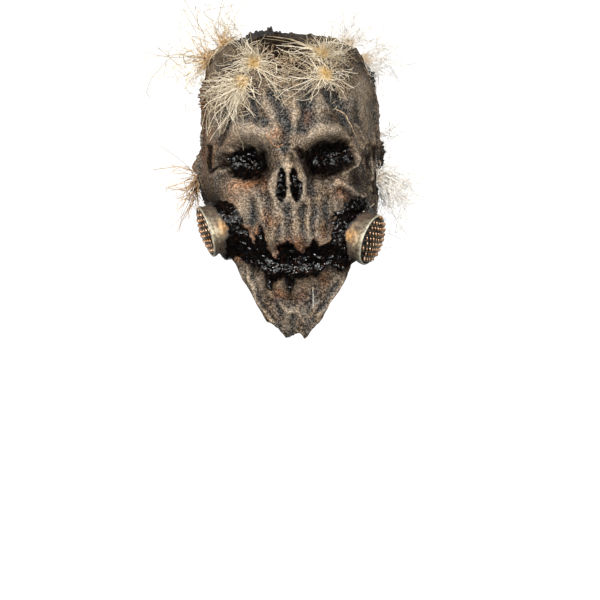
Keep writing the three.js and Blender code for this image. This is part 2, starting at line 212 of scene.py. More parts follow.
# %% Tables of the sack, in millimetres
RINGS = np.array([  # z, mid, wide, ahead, behind
    (2.5, 6, 0, 0, 0),
    (0.5, 5, 25, 27, 27),
    (-5, 4, 47, 48, 50),
    (-13, 3, 62, 67, 69),
    (-24, 2, 72, 82, 85),
    (-39, 2, 78, 94, 96),
    (-58, 2, 83, 101, 103),
    (-80, 2, 83.5, 105, 107),
    (-104, 2, 84, 106, 107),
    (-128, 1, 85, 104, 103),
    (-152, 0, 84.5, 103, 98),
    (-176, -4, 81, 99, 93),
    (-200, -12, 77, 91, 90),
    (-224, -22, 72, 79, 88),
    (-250, -32, 67, 66, 86),
    (-276, -42, 61, 51, 84),
    (-304, -50, 54, 36, 82),
])
RING_Z, RING_MID, RING_WIDE, RING_AHEAD, RING_BEHIND = RINGS.T
LEAN = 0.035
LEAN_LEVEL = -130
WALL = 2.5

RIM = np.array([  # angle, z
    (0, -295.5),
    (10, -300),
    (18, -291),
    (27, -280),
    (32, -267),
    (41, -254),
    (57, -229),
    (66, -219),
    (78, -213),
    (90, -206),
    (99, -186),
    (108, -171),
    (120, -166),
    (180, -165),
])
RELIEF = {  # x, z, wide, high, tilt, lift, sharp
    "eye_socket_left": (-41.5, -128, 22, 20, -8, -18, 1.6),
    "eye_socket_right": (40, -126, 25, 18, 14, -18, 1.6),
    "brow_left": (-40, -101, 26, 8, -6, 5, 1),
    "brow_right": (40, -100, 26, 8, 8, 5, 1),
    "nose_bridge": (-1, -133, 11, 22, 0, 7, 1),
    "nose_end": (-1, -157, 18, 16, 0, 7, 1.2),
    "cheekbone_left": (-62, -152, 18, 11, 22, 5, 1),
    "cheekbone_right": (63, -151, 18, 11, -22, 5, 1),
    "cheek_left": (-40, -186, 15, 20, 0, -5, 1),
    "cheek_right": (42, -186, 15, 20, 0, -5, 1),
    "muzzle": (0, -193, 28, 20, 0, 4, 1),
    "mouth": (0, -226, 58, 17, 0, -10, 2),
    "lower_lip": (0, -252, 28, 8, 0, 3, 1),
    "chin": (2, -276, 18, 15, 0, 4, 1),
    "temple_left": (-72, -96, 12, 22, 8, -4, 1),
    "temple_right": (72, -94, 12, 22, -8, -4, 1),
    "furrow_mid": (-6, -84, 7, 26, 22, -4, 1),
    "furrow_left": (-33, -72, 9, 15, -10, -3, 1),
    "furrow_right": (19, -78, 7, 16, -4, -4, 1),
    "furrow_far_right": (48, -72, 8, 16, 24, -4, 1),
}
SEAMS = np.array([  # z, left, right
    (2, 2, 2),
    (-10, 4, 4),
    (-20, 8, 7),
    (-32, 4, 4),
    (-104, 4, 5),
    (-118, 6, 9),
    (-129, 11, 7),
    (-140, 8, 3),
    (-154, 4, 4),
    (-206, 3, 3),
])
SEAM_ANGLE = 90
SEAM_HALF_WIDTH = 6
CROWN = np.array([-LEAN * (RING_Z[0] - LEAN_LEVEL), RING_MID[0], RING_Z[0]])
print("rings:", len(RINGS), "- rim rows:", len(RIM), "- dents and swellings:", len(RELIEF))

# %% The plain sack
RING_SAMPLES = 3201
LEAST_RING = 0.05
ANGLE_STEP = 0.5
RING_STEP = 0.02


def smoothstep(low, high, value):
    """0 at low, 1 at high, and a smooth rise between."""
    share = np.clip((value - low) / (high - low), 0, 1)
    return share * share * (3 - 2 * share)


def ring_value(column, ring, sign):
    """A column of RINGS at fractional rings. sign is -1 where the value runs through 0 at the crown."""
    padded = np.concatenate([[sign * column[1]], column, [column[-1]]])
    before = np.clip(np.floor(ring).astype(int), 0, len(column) - 2)
    t = ring - before
    p0, p1, p2, p3 = (padded[before + step] for step in range(4))
    slope1 = (p2 - p0) / 2
    slope2 = (p3 - p1) / 2
    bend2 = 3 * (p2 - p1) - 2 * slope1 - slope2
    bend3 = 2 * (p1 - p2) + slope1 + slope2
    return p1 + t * (slope1 + t * (bend2 + t * bend3))


def ring_at_height(z):
    """The fractional ring at a height."""
    rings = np.linspace(0, len(RINGS) - 1, RING_SAMPLES)
    return np.interp(-np.asarray(z, float), -ring_value(RING_Z, rings, 1), rings)


def sack_points(angle, ring):
    """Points of the plain sack. angle is in degrees round from the front, towards +X."""
    side = np.sin(np.radians(angle))
    front = np.cos(np.radians(angle))
    ahead = ring_value(RING_AHEAD, ring, -1)
    behind = ring_value(RING_BEHIND, ring, -1)
    z = ring_value(RING_Z, ring, 1)
    x = ring_value(RING_WIDE, ring, -1) * side - LEAN * (z - LEAN_LEVEL)
    y = ring_value(RING_MID, ring, 1) - np.where(front > 0, ahead, behind) * front
    return np.stack([x, y, z], axis=-1)


def sack_normals(angle, ring):
    """Outward normals of the plain sack."""
    ring = np.maximum(ring, LEAST_RING)
    across = sack_points(angle + ANGLE_STEP, ring) - sack_points(angle - ANGLE_STEP, ring)
    down = sack_points(angle, ring + RING_STEP) - sack_points(angle, ring - RING_STEP)
    normals = np.cross(down, across)
    return normals / np.linalg.norm(normals, axis=-1, keepdims=True)


# %% The relief of the face
FACE_COSINE = (0, 0.25)  # cosine of the angle where the face begins, and where it is whole


def facing(angle):
    """1 on the face, 0 on the back of the head, and a smooth fall at the sides."""
    return smoothstep(*FACE_COSINE, np.cos(np.radians(angle)))


def oval(row, x, z):
    """How far points lie from the middle of an oval, 1 at its edge. row starts x, z, wide, high, tilt."""
    c = math.cos(math.radians(row[4]))
    s = math.sin(math.radians(row[4]))
    along = (c * (x - row[0]) + s * (z - row[1])) / row[2]
    up = (c * (z - row[1]) - s * (x - row[0])) / row[3]
    return np.hypot(along, up)


def skin_lift(angle, ring, points):
    """Height of the face's relief and of the seams over the plain sack."""
    x, z = points[..., 0], points[..., 2]
    face = sum(row[5] * np.exp(-(oval(row, x, z) ** (2 * row[6]))) for row in RELIEF.values())
    off_seam = np.radians(np.abs(angle) - SEAM_ANGLE) * ring_value(RING_WIDE, ring, -1) / SEAM_HALF_WIDTH
    left = np.interp(-z, -SEAMS[:, 0], SEAMS[:, 1])
    right = np.interp(-z, -SEAMS[:, 0], SEAMS[:, 2])
    seam = np.where(angle < 0, left, right) * np.exp(-off_seam * off_seam) * np.minimum(ring, 1)
    return facing(angle) * face + seam


# %% Smooth noise
CELL_FACTORS = (73856093, 19349663, 83492791)  # large odd numbers scatter a cell's place over all bits
SEED_FACTOR = 26544357
MIXER = 1274126177
HALF_RANGE = 32767.5


def noise(points, size, seed):
    """Smooth noise between -1 and 1, with lumps about size across, in the unit of the points."""
    scaled = np.asarray(points, float) / size
    cell = np.floor(scaled).astype(np.int64)
    share = scaled - cell
    share = share * share * (3 - 2 * share)
    total = np.zeros(scaled.shape[:-1])
    for corner in np.ndindex(2, 2, 2):
        at = (cell + np.array(corner)) * CELL_FACTORS
        code = at[..., 0] ^ at[..., 1] ^ at[..., 2] ^ (seed * SEED_FACTOR)
        code = (code ^ (code >> 13)) * MIXER
        value = ((code ^ (code >> 16)) & 0xFFFF) / HALF_RANGE - 1
        total += value * np.prod(np.where(np.array(corner) == 1, share, 1 - share), axis=-1)
    return total


# %% [markdown]
# ## The sculptor's detail
#
# The face has finer shape than the solid: the ragged mouth, the tar that lies lower than the latex, drips,
# folds in the forehead and the upper lip, and jagged seams. Sculpt brushes would do, but what they did
# can't be read or changed later. So each is a short row of a table, as seen from the front, and is measured
# as a distance from a line, an oval or an outline. The same distances say where tar, rust and soot were
# painted, and where painted shade lies in the folds and slits, so paint and shape agree.

# %% Mouth, eyes and nostrils, in millimetres
MOUTH = np.array([  # x and z of corners of its ragged edge
    (-66, -196), (-54.5, -191.5), (-41.5, -194.5), (-36.5, -208.5), (-29.5, -190.5), (-26, -195),
    (-22.5, -213.5), (-15.5, -223), (-11.5, -220.5), (-12.5, -211.5), (-4.5, -208.5), (-1, -205),
    (2.5, -210), (10.5, -217), (13, -217), (17.5, -212.5), (24, -204.5), (30, -210.5), (34.5, -210),
    (39.5, -207.5), (41.5, -201), (44, -186), (47.5, -180.5), (56, -178), (66, -174), (75, -190),
    (68, -224), (53.5, -235), (47.5, -235), (39.5, -230.5), (34.5, -233), (28.5, -240), (13, -243.5),
    (6, -243.5), (3.5, -249.5), (0.5, -257.5), (-3.5, -249.5), (-5, -243.5), (-12, -243.5),
    (-16.5, -249), (-19, -256), (-22.5, -249), (-26, -235), (-39, -230), (-47.5, -227), (-50, -221),
    (-62, -223), (-72, -212),
])
EYES = {  # x, z, wide, high, tilt
    "left": (-42.5, -130.5, 20.5, 16.5, -8),
    "right": (39.5, -126, 25, 16.5, 15),
    "right_corner": (17, -122, 9, 4, 8),
}
NOSTRILS = {  # the same columns
    "left": (-8.2, -157, 5.6, 12, -2),
    "left_top": (-7.6, -146, 4.2, 10, 2),
    "right": (6.6, -156.5, 6, 12, 4),
    "right_top": (4.2, -146, 4.4, 10, 8),
}
print("corners of the mouth:", len(MOUTH), "- ovals of the eyes and nostrils:", len(EYES) + len(NOSTRILS))

# %% Folds and slits, in millimetres
FOLDS = {  # half width, lift, then the points of a line, x and z
    "temple_left": (2.6, -5, [(-62, -70), (-61.5, -88), (-63, -97.5), (-66.5, -104.5), (-70, -110)]),
    "forehead_left": (4.5, -3.5, [(-38, -58), (-35, -76)]),
    "forehead_left_hollow": (7, -3, [(-42, -82), (-26, -90)]),
    "forehead_mid": (5, -4.5, [(-18, -62), (-9, -82), (-4, -94), (-3, -118)]),
    "forehead_right": (6.5, -6, [(20, -66), (17, -84), (14, -98)]),
    "forehead_far_right": (7, -5, [(38, -62), (50, -78), (58, -94)]),
    "temple_right": (4, -2.5, [(66, -70), (70, -104)]),
    "forehead_ridge_left": (5, 1.4, [(-50, -70), (-50, -94)]),
    "forehead_ridge_mid": (5, 1.5, [(-22, -72), (-13, -100)]),
    "forehead_ridge_right": (5, 1, [(30, -68), (31, -94)]),
    "forehead_cord": (2, 1.8, [(46, -76), (58, -86), (66, -104)]),
    "brow_ridge_left": (7, 3, [(-56, -104), (-36, -99), (-20, -106)]),
    "brow_roll_left": (5.5, 5, [(-58, -111.5), (-42, -109.5), (-27, -112)]),
    "brow_ridge_right": (6, 1.3, [(10, -104), (30, -100), (52, -100)]),
    "nose_ridge": (3.2, 1.4, [(-2, -128), (-1, -150)]),
    "nose_edge_left": (1.8, 2, [(-9, -121), (-7, -134), (-16, -143), (-19, -156), (-14, -174)]),
    "nose_edge_right": (1.8, 2, [(5, -119), (7, -131), (14.5, -144), (16, -154), (12, -170)]),
    "lip_ridge_1": (2.6, 1.4, [(-15, -172), (-13, -186), (-20, -208)]),
    "lip_ridge_2": (2.6, 1.4, [(-8, -176), (-7, -204)]),
    "lip_ridge_3": (3, 1.7, [(4, -172), (5, -190), (9, -212)]),
    "lip_ridge_4": (2.6, 1.4, [(19, -166), (19, -202)]),
    "lip_ridge_5": (2.6, 1.4, [(27, -160), (27, -200)]),
    "lip_groove_1": (2.6, -1.9, [(-11.5, -186), (-12, -207)]),
    "lip_groove_2": (3, -2.2, [(-3, -172), (-2, -202)]),
    "lip_groove_3": (3, -2.2, [(12, -172), (14, -210)]),
    "lip_groove_4": (2.6, -1.9, [(23, -160), (24, -198)]),
    "lip_groove_5": (3, -2.3, [(36, -166), (36, -200)]),
    "cheek_ridge_left": (3, 2, [(-30, -168), (-27, -186)]),
    "cheek_fold_left": (4, -2.4, [(-22, -164), (-22, -188)]),
    "cheek_fold_far_left": (4, -2.2, [(-38, -166), (-36, -186)]),
    "nose_side_left": (3, -1.6, [(-24, -130), (-26, -158)]),
    "nose_side_right": (5, -4, [(20, -128), (22, -158)]),
    "cheek_cord_right": (2, 4.2, [(46, -148), (53, -152), (59, -156), (66, -160), (72, -161)]),
    "cheek_crease_right": (2.6, -5, [(50, -157), (58, -161.5), (66, -166)]),
    "cheek_hollow_right": (8, -3.5, [(64, -142), (69, -153)]),
    "orbit_right": (1.9, 3.8, [(55, -106), (61, -113), (66.5, -124), (65, -133.5), (59, -138), (52, -141)]),
    "seam_slit_right": (2, -3, [(77, -110), (78, -132)]),
    "cheek_crease_left": (1.6, -4, [(-60, -130), (-66, -131), (-80, -138)]),
    "cheek_roll_left": (2.2, 2.4, [(-62, -134), (-78, -142)]),
    "seam_slit_left": (2, -3, [(-79, -112), (-80, -134)]),
    "seam_ridge_right": (
        1.2,
        3,
        [(66, -91), (73.5, -105), (77, -111), (80, -118), (81, -126), (81, -139), (80, -156)],
    ),
    "seam_ridge_far_right": (1.2, 3, [(80.5, -95), (81.5, -104), (84.5, -111), (85.5, -116), (84.5, -136)]),
    "temple_ridge_right": (1.6, 1.8, [(62, -84), (66, -98), (73, -112)]),
    "seam_ridge_left": (1.5, 2.4, [(-77, -60), (-78, -84), (-79, -104), (-82, -126)]),
    "jaw_line_left": (1.3, 2.6, [(-42, -232), (-34.5, -258), (-28, -270), (-18, -284)]),
    "jaw_fold_left": (1.6, -2.2, [(-38, -234), (-31, -258), (-24.5, -271), (-15, -283)]),
    "jaw_line_right": (1.6, 2.2, [(53, -244), (38, -268), (27, -284)]),
    "jaw_fold_right": (1.6, -2.2, [(47, -246), (34, -267), (23, -283)]),
    "chin_arch": (1.8, 2.8, [(-20, -257), (-11, -266), (-2.5, -274.5), (7, -274.5), (13, -286)]),
    "chin_arch_leg": (1.8, 2.2, [(-2.5, -274.5), (-5, -288)]),
    "chin_fold_left": (3, -2.4, [(-14, -262), (-9, -276), (-11, -288)]),
    "chin_fold_mid": (2.4, -3, [(2.5, -278), (3, -296)]),
    "chin_fold_right": (3, -2.4, [(24, -252), (20, -272)]),
    "chin_brow": (3, -2, [(-8, -264), (14, -266)]),
}
SLITS = {  # half width, then the points of a narrow gap, painted black as the shade in it, x and z
    "seam_left": (1.8, [(-79.8, -110.5), (-80.4, -133)]),
    "seam_right": (1.2, [(78.6, -114.5), (79, -133)]),
    "seam_far_right": (1.7, [(82.6, -111), (82.8, -124)]),
    "seam_low_right": (2.6, [(81.5, -147), (82.8, -157)]),
    "cheek_left": (1.1, [(-66, -130.5), (-72, -133), (-80, -137)]),
}
print("folds:", len(FOLDS), "- slits:", len(SLITS))

# %% Torn patches, washes of paint, painted shade and painted light, in millimetres
RAGS = {  # angle, z, half width and half height of a torn black patch
    "crown": (-22, -8, 15, 12),
    "crown_top": (-38, -1, 15, 6),
    "right_ear": (90, -122, 8, 17),
    "left_ear": (-91, -160, 9, 11),
    "left_flap": (-92, -116, 5, 5),
}
RUST = [  # x, z, wide, high, strength
    (-38, -150, 17, 8, 0.9),
    (-57, -166, 6, 16, 0.8),
    (-13, -104, 6, 6, 0.7),
    (6, -209, 9, 8, 1),
    (50, -160, 9, 10, 0.7),
    (33, -203, 6, 10, 0.5),
    (11, -256, 7, 8, 0.7),
    (-10, -256, 7, 8, 0.8),
    (33, -246, 5, 9, 0.8),
    (18, -88, 4, 7, 0.6),
    (-83, -64, 6, 34, 0.6),
    (-85, -118, 2.6, 24, 0.65),
    (-77, -112, 2.6, 26, 0.45),
    (-20, -186, 8, 10, 0.4),
    (-60, -110, 8, 10, 0.4),
    (62, -116, 8, 10, 0.3),
]
DRY_BRUSH_AND_LIGHT = [  # x, z, wide, high, strength of pale paint and of painted light
    # The first two rows paint light on the left brow and the top of its eye socket, which the brow shades.
    (-40, -104, 20, 10, 1.5),
    (-35, -108, 14, 5, 1.2),
    (38, -107, 16, 5, 0.6),
    (-48, -158, 16, 14, 1),
    (-50, -176, 12, 14, 0.9),
    (-26, -176, 12, 16, 0.4),
    (44, -172, 10, 14, 0.5),
    (-1, -136, 6, 9, 0.45),
    (-18, -130, 7, 10, 0.35),
    (-75, -90, 8, 34, 0.8),
    (69, -90, 10, 30, 0.9),
    (69, -62, 8, 14, 0.6),
    (73, -48, 6, 10, 0.8),
    (-66, -16, 10, 10, 0.9),
    (-78, -34, 6, 12, 0.9),
    (3, -91, 4, 8, 0.8),
    (-84, -130, 6, 12, 0.7),
    (8, -209, 7, 6, 0.8),
    (-44, -234, 8, 12, 0.4),
]
STAINS_AND_SHADE = [  # x, z, wide, high, strength of brown dirt and of painted shade
    # painted shade in the hollow of the right cheek
    (64, -147, 10, 10, 0.95),
    (76, -128, 6, 26, 0.45),
    (23, -134, 7, 14, 0.45),
    (62, -132, 8, 8, 0.5),
    (12, -247, 20, 9, 0.75),
    (34, -240, 12, 9, 0.75),
    (38, -196, 9, 14, 0.4),
    (-36, -62, 5, 11, 0.9),
    (2, -10, 22, 16, 0.6),
    (-14, -32, 22, 16, 0.9),
    (4, -26, 14, 12, 0.7),
    (10, -40, 16, 10, 0.4),
    (40, -88, 12, 10, 0.45),
    (60, -101, 10, 8, 0.5),
    (-24, -12, 20, 14, 0.7),
    # painted shade in the furrow between the brows
    (-4, -107, 12, 7, 0.4),
    # painted shadow beside the nose
    (23, -153, 9, 10, 0.4),
    (19, -176, 7, 18, 0.3),
    (-20, -198, 12, 12, 0.25),
    (4, -192, 24, 14, 0.15),
    (-22, -250, 10, 8, 0.6),
    (-77, -167, 10, 14, 0.9),
    (60, -168, 10, 8, 0.5),
    (0.5, -252, 4.5, 10, 0.9),
    (-19, -247, 5, 9, 0.9),
    (-40, -230, 12, 6, 0.5),
]
print("washes of paint:", len(RUST) + len(DRY_BRUSH_AND_LIGHT) + len(STAINS_AND_SHADE))

# %% Distances from lines, outlines and washes
def line_distance(x, z, line, closed=False):
    """Distance of points from a line through corners."""
    corners = np.asarray(line, float)
    ends = np.roll(corners, -1, axis=0) if closed else corners[1:]
    nearest = np.full(x.shape, np.inf)
    for (ax, az), (bx, bz) in zip(corners, ends):
        length = (bx - ax) ** 2 + (bz - az) ** 2
        share = np.clip(((x - ax) * (bx - ax) + (z - az) * (bz - az)) / length, 0, 1)
        nearest = np.minimum(nearest, np.hypot(x - ax - share * (bx - ax), z - az - share * (bz - az)))
    return nearest


def depth_inside(x, z, outline):
    """Distance of points inside a closed outline, counted negative outside it."""
    inside = np.zeros(x.shape, bool)
    for (ax, az), (bx, bz) in zip(outline, np.roll(outline, -1, axis=0)):
        crosses = (az > z) != (bz > z)
        with np.errstate(divide="ignore", invalid="ignore"):
            inside ^= crosses & (x < (bx - ax) * (z - az) / (bz - az) + ax)
    return np.where(inside, 1, -1) * line_distance(x, z, outline, closed=True)


def washes(rows, x, z):
    """Soft oval washes of paint."""
    total = np.zeros(x.shape)
    for row in rows:
        total += row[4] * np.exp(-(((x - row[0]) / row[2]) ** 2) - ((z - row[1]) / row[3]) ** 2)
    return np.clip(total, 0, 1)


def rag_depth(row, points):
    """Depth inside a torn patch, in millimetres, from its row of RAGS."""
    side, height, half_width, half_height = row
    middle = sack_points(np.array([side]), ring_at_height([height]))[0]
    across = np.hypot(points[..., 0] - middle[0], points[..., 1] - middle[1]) / half_width
    up = (points[..., 2] - height) / half_height
    return (1 - np.hypot(across, up)) * min(half_width, half_height)


# %% Distance from the cans, in millimetres
CANS = {  # middle of the mouth, way it faces
    "left": (np.array([-83.0, -62, -197]), np.array([-0.928, -0.2, -0.314])),
    "right": (np.array([81.0, -64, -205]), np.array([0.876, -0.37, -0.31])),
}
CAN_RADIUS = 25.6
CAN_LENGTH = 46
CAN_END_REACH = 8
CAN_END_FALL = 3
CAN_BED_WIDTH = 3
CAN_BED_GROWTH = {"left": (-5, -200, -184), "right": (9, -208, -182)}  # growth, from one height to another


def can_distance(points, side):
    """Distance of points from a can's side wall, along its radius, and large past the can's ends."""
    mouth, aim = CANS[side]
    aim = aim / np.linalg.norm(aim)
    offset = points - mouth
    along = offset @ aim
    past = np.clip(np.abs(along + CAN_LENGTH / 2) - CAN_LENGTH / 2 - CAN_END_REACH, 0, None)
    return np.linalg.norm(offset - along[..., None] * aim, axis=-1) - CAN_RADIUS + CAN_END_FALL * past


def bed_width(side, z):
    """Width of the tar round a can, at heights."""
    growth, start, end = CAN_BED_GROWTH[side]
    return CAN_BED_WIDTH + growth * smoothstep(start, end, z)


# %% Noise that bends and frays the lines
NOISES = {  # layers of strength, size and seed, sizes in millimetres
    "fray": [(1.6, 3.2, 11), (0.8, 1.6, 12)],
    "wander": [(1, 9, 13)],
    "rise": [(1, 9, 14)],
    "patchy": [(0.4, 4, 15)],
    "smoke": [(4, 6, 16)],
    "fringe": [(2.4, 2.8, 17), (1.6, 1.5, 18)],
    "lumps": [(1, 7, 21), (0.7, 4.2, 22)],
    "cloth": [(0.9, 16, 31)],
    "crumple": [(0.6, 7, 32)],
    "hanging": [(1.8, 26, 33)],
    "jags": [(1.6, 6.5, 41), (1.6, 2.4, 42)],
    "tears": [(2.4, 3.2, 43), (2, 1.8, 44)],
    "rim": [(2.2, 5, 51), (1.6, 2.2, 52)],
    "dents": [(0.5, 14, 61), (0.2, 5, 62)],
    "tide": [(0.05, 7, 63), (0.04, 3, 64)],
    "can_lumps": [(2.4, 5.5, 65)],
}
WANDER = 2.2
WANDER_OF_WIDTH = 0.3
FRONT_COSINE = (-0.2, 0.05)


def layered(points, name, turned_up=False):
    """The layers of a row of NOISES. Turned up where it is negative, noise makes lumps and creases."""
    shape = np.abs if turned_up else np.asarray
    return sum(strength * shape(noise(points, size, seed)) for strength, size, seed in NOISES[name])


def spots_on_skin(angle, points):
    """What the sculpting reads at each point: its place, how it faces, and how lines bend and fray there."""
    x, z = points[..., 0], points[..., 2]
    rise = layered(points, "rise")
    return SimpleNamespace(
        angle=angle,
        points=points,
        x=x,
        z=z,
        bent_x=x + WANDER * layered(points, "wander"),
        bent_z=z + WANDER * rise,
        width=1 + WANDER_OF_WIDTH * rise,
        frayed=layered(points, "fray"),
        facing=facing(angle),
        front=smoothstep(*FRONT_COSINE, np.cos(np.radians(angle))),
    )


# %% Where the tar and the folds are
EYE_FRAY = 1.6
NOSTRIL_FRAY = 0.5
BED_FRAY = 2.5
RAG_FRAY = 2.5
NOSTRIL_STEEPNESS = 3
TAR_EDGE = (-0.6, 0.9)
EYE_TAR_EDGE = (-2.5, 3)


def tar_depths(spot):
    """Depth of each spot inside the mouth, eyes, nostrils, beds of the cans and torn patches."""
    eyes = [(1 - oval(row, spot.bent_x, spot.bent_z)) * min(row[2], row[3]) for row in EYES.values()]
    nostrils = [(1 - oval(row, spot.x, spot.z)) * row[2] for row in NOSTRILS.values()]
    rags = [rag_depth(row, spot.points) for row in RAGS.values()]
    off_cans = np.minimum(*(can_distance(spot.points, side) for side in CANS))
    bed = np.where(spot.x > 0, bed_width("right", spot.z), bed_width("left", spot.z))
    return SimpleNamespace(
        mouth=depth_inside(spot.x, spot.z, MOUTH) + spot.frayed,
        eyes=np.maximum.reduce(eyes) + EYE_FRAY * spot.frayed + layered(spot.points, "fringe"),
        nostrils=np.maximum.reduce(nostrils) + NOSTRIL_FRAY * spot.frayed,
        rags=np.maximum.reduce(rags) + RAG_FRAY * spot.frayed,
        bed=bed - off_cans + BED_FRAY * spot.frayed,
        off_cans=off_cans,
    )


def tar_mask(spot, depth):
    """Where tar lies, from 0 to 1."""
    sharp = np.maximum.reduce([depth.mouth, NOSTRIL_STEEPNESS * depth.nostrils, depth.bed])
    tar = np.maximum(smoothstep(*TAR_EDGE, sharp), smoothstep(*EYE_TAR_EDGE, depth.eyes))
    return spot.facing * tar


def fold_lifts(spot):
    """Lift of all the folds together."""
    total = np.zeros(spot.x.shape)
    for half_width, lift, line in FOLDS.values():
        off = line_distance(spot.bent_x, spot.bent_z, line) / (half_width * spot.width)
        total += lift * np.exp(-off * off)
    return total


# %% Fine lift of the skin, in millimetres
FOLD_SHARE = 0.75
CRUMPLE_STRETCH = np.array([1.6, 1, 0.6])
HANGING_STRETCH = np.array([1, 1, 0.45])
BACK_ANGLES = (95, 125)
JAG_ANGLE = 5.5
SWELL = 2.4
SWELL_ANGLE = 16
SWELL_TOP = (-36, -60)
SWELL_FOOT = (-122, -100)
TORN_EDGE = (-2, 3)
SINKS = {  # depth, then where its edge starts and ends
    "mouth": (3.2, -1.2, 1.6),
    "eyes": (2.2, -2, 3),
    "nostrils": (6, -0.5, 2),
}
FILLET = 3.5
FILLET_EDGE = (-4, 6)
FILLET_REACH = (14, 4)
TAR_LUMP = 2.4
TAR_BASE = 0.6


def seam_lift(spot):
    """The jagged ridges of both seams, and the right one's swelling."""
    jags = np.exp(-(((np.abs(spot.angle) - SEAM_ANGLE) / JAG_ANGLE) ** 2)) * layered(spot.points, "jags")
    swell = SWELL * np.exp(-(((spot.angle - SEAM_ANGLE) / SWELL_ANGLE) ** 2))
    return jags + swell * smoothstep(*SWELL_TOP, spot.z) * smoothstep(*SWELL_FOOT, spot.z)


def fine_lift(spot, depth, tar, folds):
    """Lift over the relief: folds and cloth where the skin is bare, lumps where tar lies, and torn edges."""
    cloth = layered(spot.points, "cloth") + layered(spot.points * CRUMPLE_STRETCH, "crumple")
    behind = smoothstep(*BACK_ANGLES, np.abs(spot.angle))
    cloth += behind * layered(spot.points * HANGING_STRETCH, "hanging")
    bare = (FOLD_SHARE * spot.facing * folds + cloth) * (1 - tar)
    lumps = tar * (TAR_LUMP * layered(spot.points, "lumps", turned_up=True) - TAR_BASE)
    sunk = sum(
        sink * smoothstep(start, end, getattr(depth, name)) for name, (sink, start, end) in SINKS.items()
    )
    fillet = FILLET * smoothstep(*FILLET_EDGE, depth.bed) * smoothstep(*FILLET_REACH, np.abs(depth.off_cans))
    torn = smoothstep(*TORN_EDGE, depth.rags) * layered(spot.points, "tears", turned_up=True)
    return bare + lumps + spot.facing * (fillet - sunk) + seam_lift(spot) + torn


# %% Paint, painted shade and painted light on the skin
GROOVE_SHADE_DEPTH = 4.5
RIDGE_HEIGHT = 3
RIDGE_CLEANS = 0.9
HALO_BROW = (2.2, -120, -108)  # how much faster the eyes' soot fades, from one height to another
HALO_NOSE = (0.4, 24, 16)  # the same towards the nose, by distance from the middle
HALO_REACH = 70
LIP_LEVEL = (-222, -232)
MOUTH_SOOT = 0.9
MOUTH_SOOT_REACH = 40
LIP_RUST = 0.7
LIP_RUST_REACH = 8
# The sides and the crown of the head are painted darker.
SIDE_DARKENING = 0.12
SIDE_ANGLES = (64, 88)
SIDE_ANGLES_BEHIND = (150, 110)
CROWN_DARKENING = 0.45
CROWN_LEVEL = (-42, -12)


def eye_soot(spot, depth):
    """Soot that fades out round the eyes, fastest towards the brows and the nose."""
    brow, low, high = HALO_BROW
    nose, far, near = HALO_NOSE
    off = np.clip(layered(spot.points, "smoke") - depth.eyes, 0, None)
    off = off * (1 + brow * smoothstep(low, high, spot.z) + nose * smoothstep(far, near, np.abs(spot.x)))
    return np.exp(-off * off / HALO_REACH) * (1 + layered(spot.points, "patchy"))


def soot_and_shade_mask(spot, depth, ridge):
    """Soot round the eyes and mouth, the darker sides and crown, dirt and painted shade from a table, less on
    ridges, and black painted shade in the slits.
    """
    off_mouth = np.clip(-depth.mouth, 0, None) ** 2
    mouth = MOUTH_SOOT * smoothstep(*LIP_LEVEL, spot.z) * np.exp(-off_mouth / MOUTH_SOOT_REACH)
    turn = np.abs(spot.angle)
    side = SIDE_DARKENING * smoothstep(*SIDE_ANGLES, turn) * smoothstep(*SIDE_ANGLES_BEHIND, turn)
    crown = CROWN_DARKENING * smoothstep(*CROWN_LEVEL, spot.z)
    stains_and_shade = spot.front * washes(STAINS_AND_SHADE, spot.x, spot.z)
    soot = np.maximum.reduce([spot.facing * eye_soot(spot, depth), spot.facing * mouth, side, crown, stains_and_shade])
    # The slits: black painted shade in each narrow gap.
    off_slits = [line_distance(spot.x, spot.z, line) / half for half, line in SLITS.values()]
    slits = spot.front * np.exp(-(np.minimum.reduce(off_slits) ** 4))
    return np.maximum.reduce([soot * (1 - RIDGE_CLEANS * ridge), slits, smoothstep(*TAR_EDGE, depth.rags)])


def paint_masks(spot, depth, tar, folds):
    """The painter's masks, each from 0 to 1."""
    dry_brush_and_light = spot.front * washes(DRY_BRUSH_AND_LIGHT, spot.x, spot.z)
    # ridge: pale paint on raised folds, partly painted highlight, with the dry brush's paint and painted
    # light
    ridge = np.clip(spot.facing * folds / RIDGE_HEIGHT + dry_brush_and_light, 0, 1)
    lip = np.exp(-(np.clip(-depth.mouth, 0, None) ** 2) / LIP_RUST_REACH)
    lip = LIP_RUST * spot.facing * smoothstep(*LIP_LEVEL[::-1], spot.z) * lip
    return {
        "tar": tar,
        # groove: painted shade in the hollows of the folds
        "groove": np.clip(-spot.facing * folds / GROOVE_SHADE_DEPTH, 0, 1),
        "ridge": ridge,
        "soot": np.clip(soot_and_shade_mask(spot, depth, ridge), 0, 1),
        "rust": np.maximum(spot.front * washes(RUST, spot.x, spot.z), lip),
    }


def sculpt(angle, points):
    """Fine lift of the skin, and the painter's masks."""
    spot = spots_on_skin(angle, points)
    depth = tar_depths(spot)
    tar = tar_mask(spot, depth)
    folds = fold_lifts(spot)
    return fine_lift(spot, depth, tar, folds), paint_masks(spot, depth, tar, folds)


# %% [markdown]
# ## The latex skin
#
# The casting is one closed wall: an outside with all the detail, an inside a wall's thickness behind it,
# and a ragged rim that joins the two. A solidify modifier would fold over itself in the sharp detail, so
# the inside is a coarser grid that lies behind the deepest detail. An angle for every column and a ring for
# every row is enough, because the whole form is one sack.

# %% Grid of the skin
FACE_EDGE = 100
FACE_STEP = 1.0
BACK_STEP = 2.5
LEVEL_RING = 8
LEVEL_ROWS = 92
FALLING_ROWS = 128
SAG = 8  # the lower edge hangs a little lower beside the chin on the left
SAG_ANGLE = -31
SAG_SPREAD = 5.5
RIM_RADIUS = 60
RIM_TEARS = 0.25
CHIN_TEARS = 0.5
CHIN_ANGLES = (28, 12)


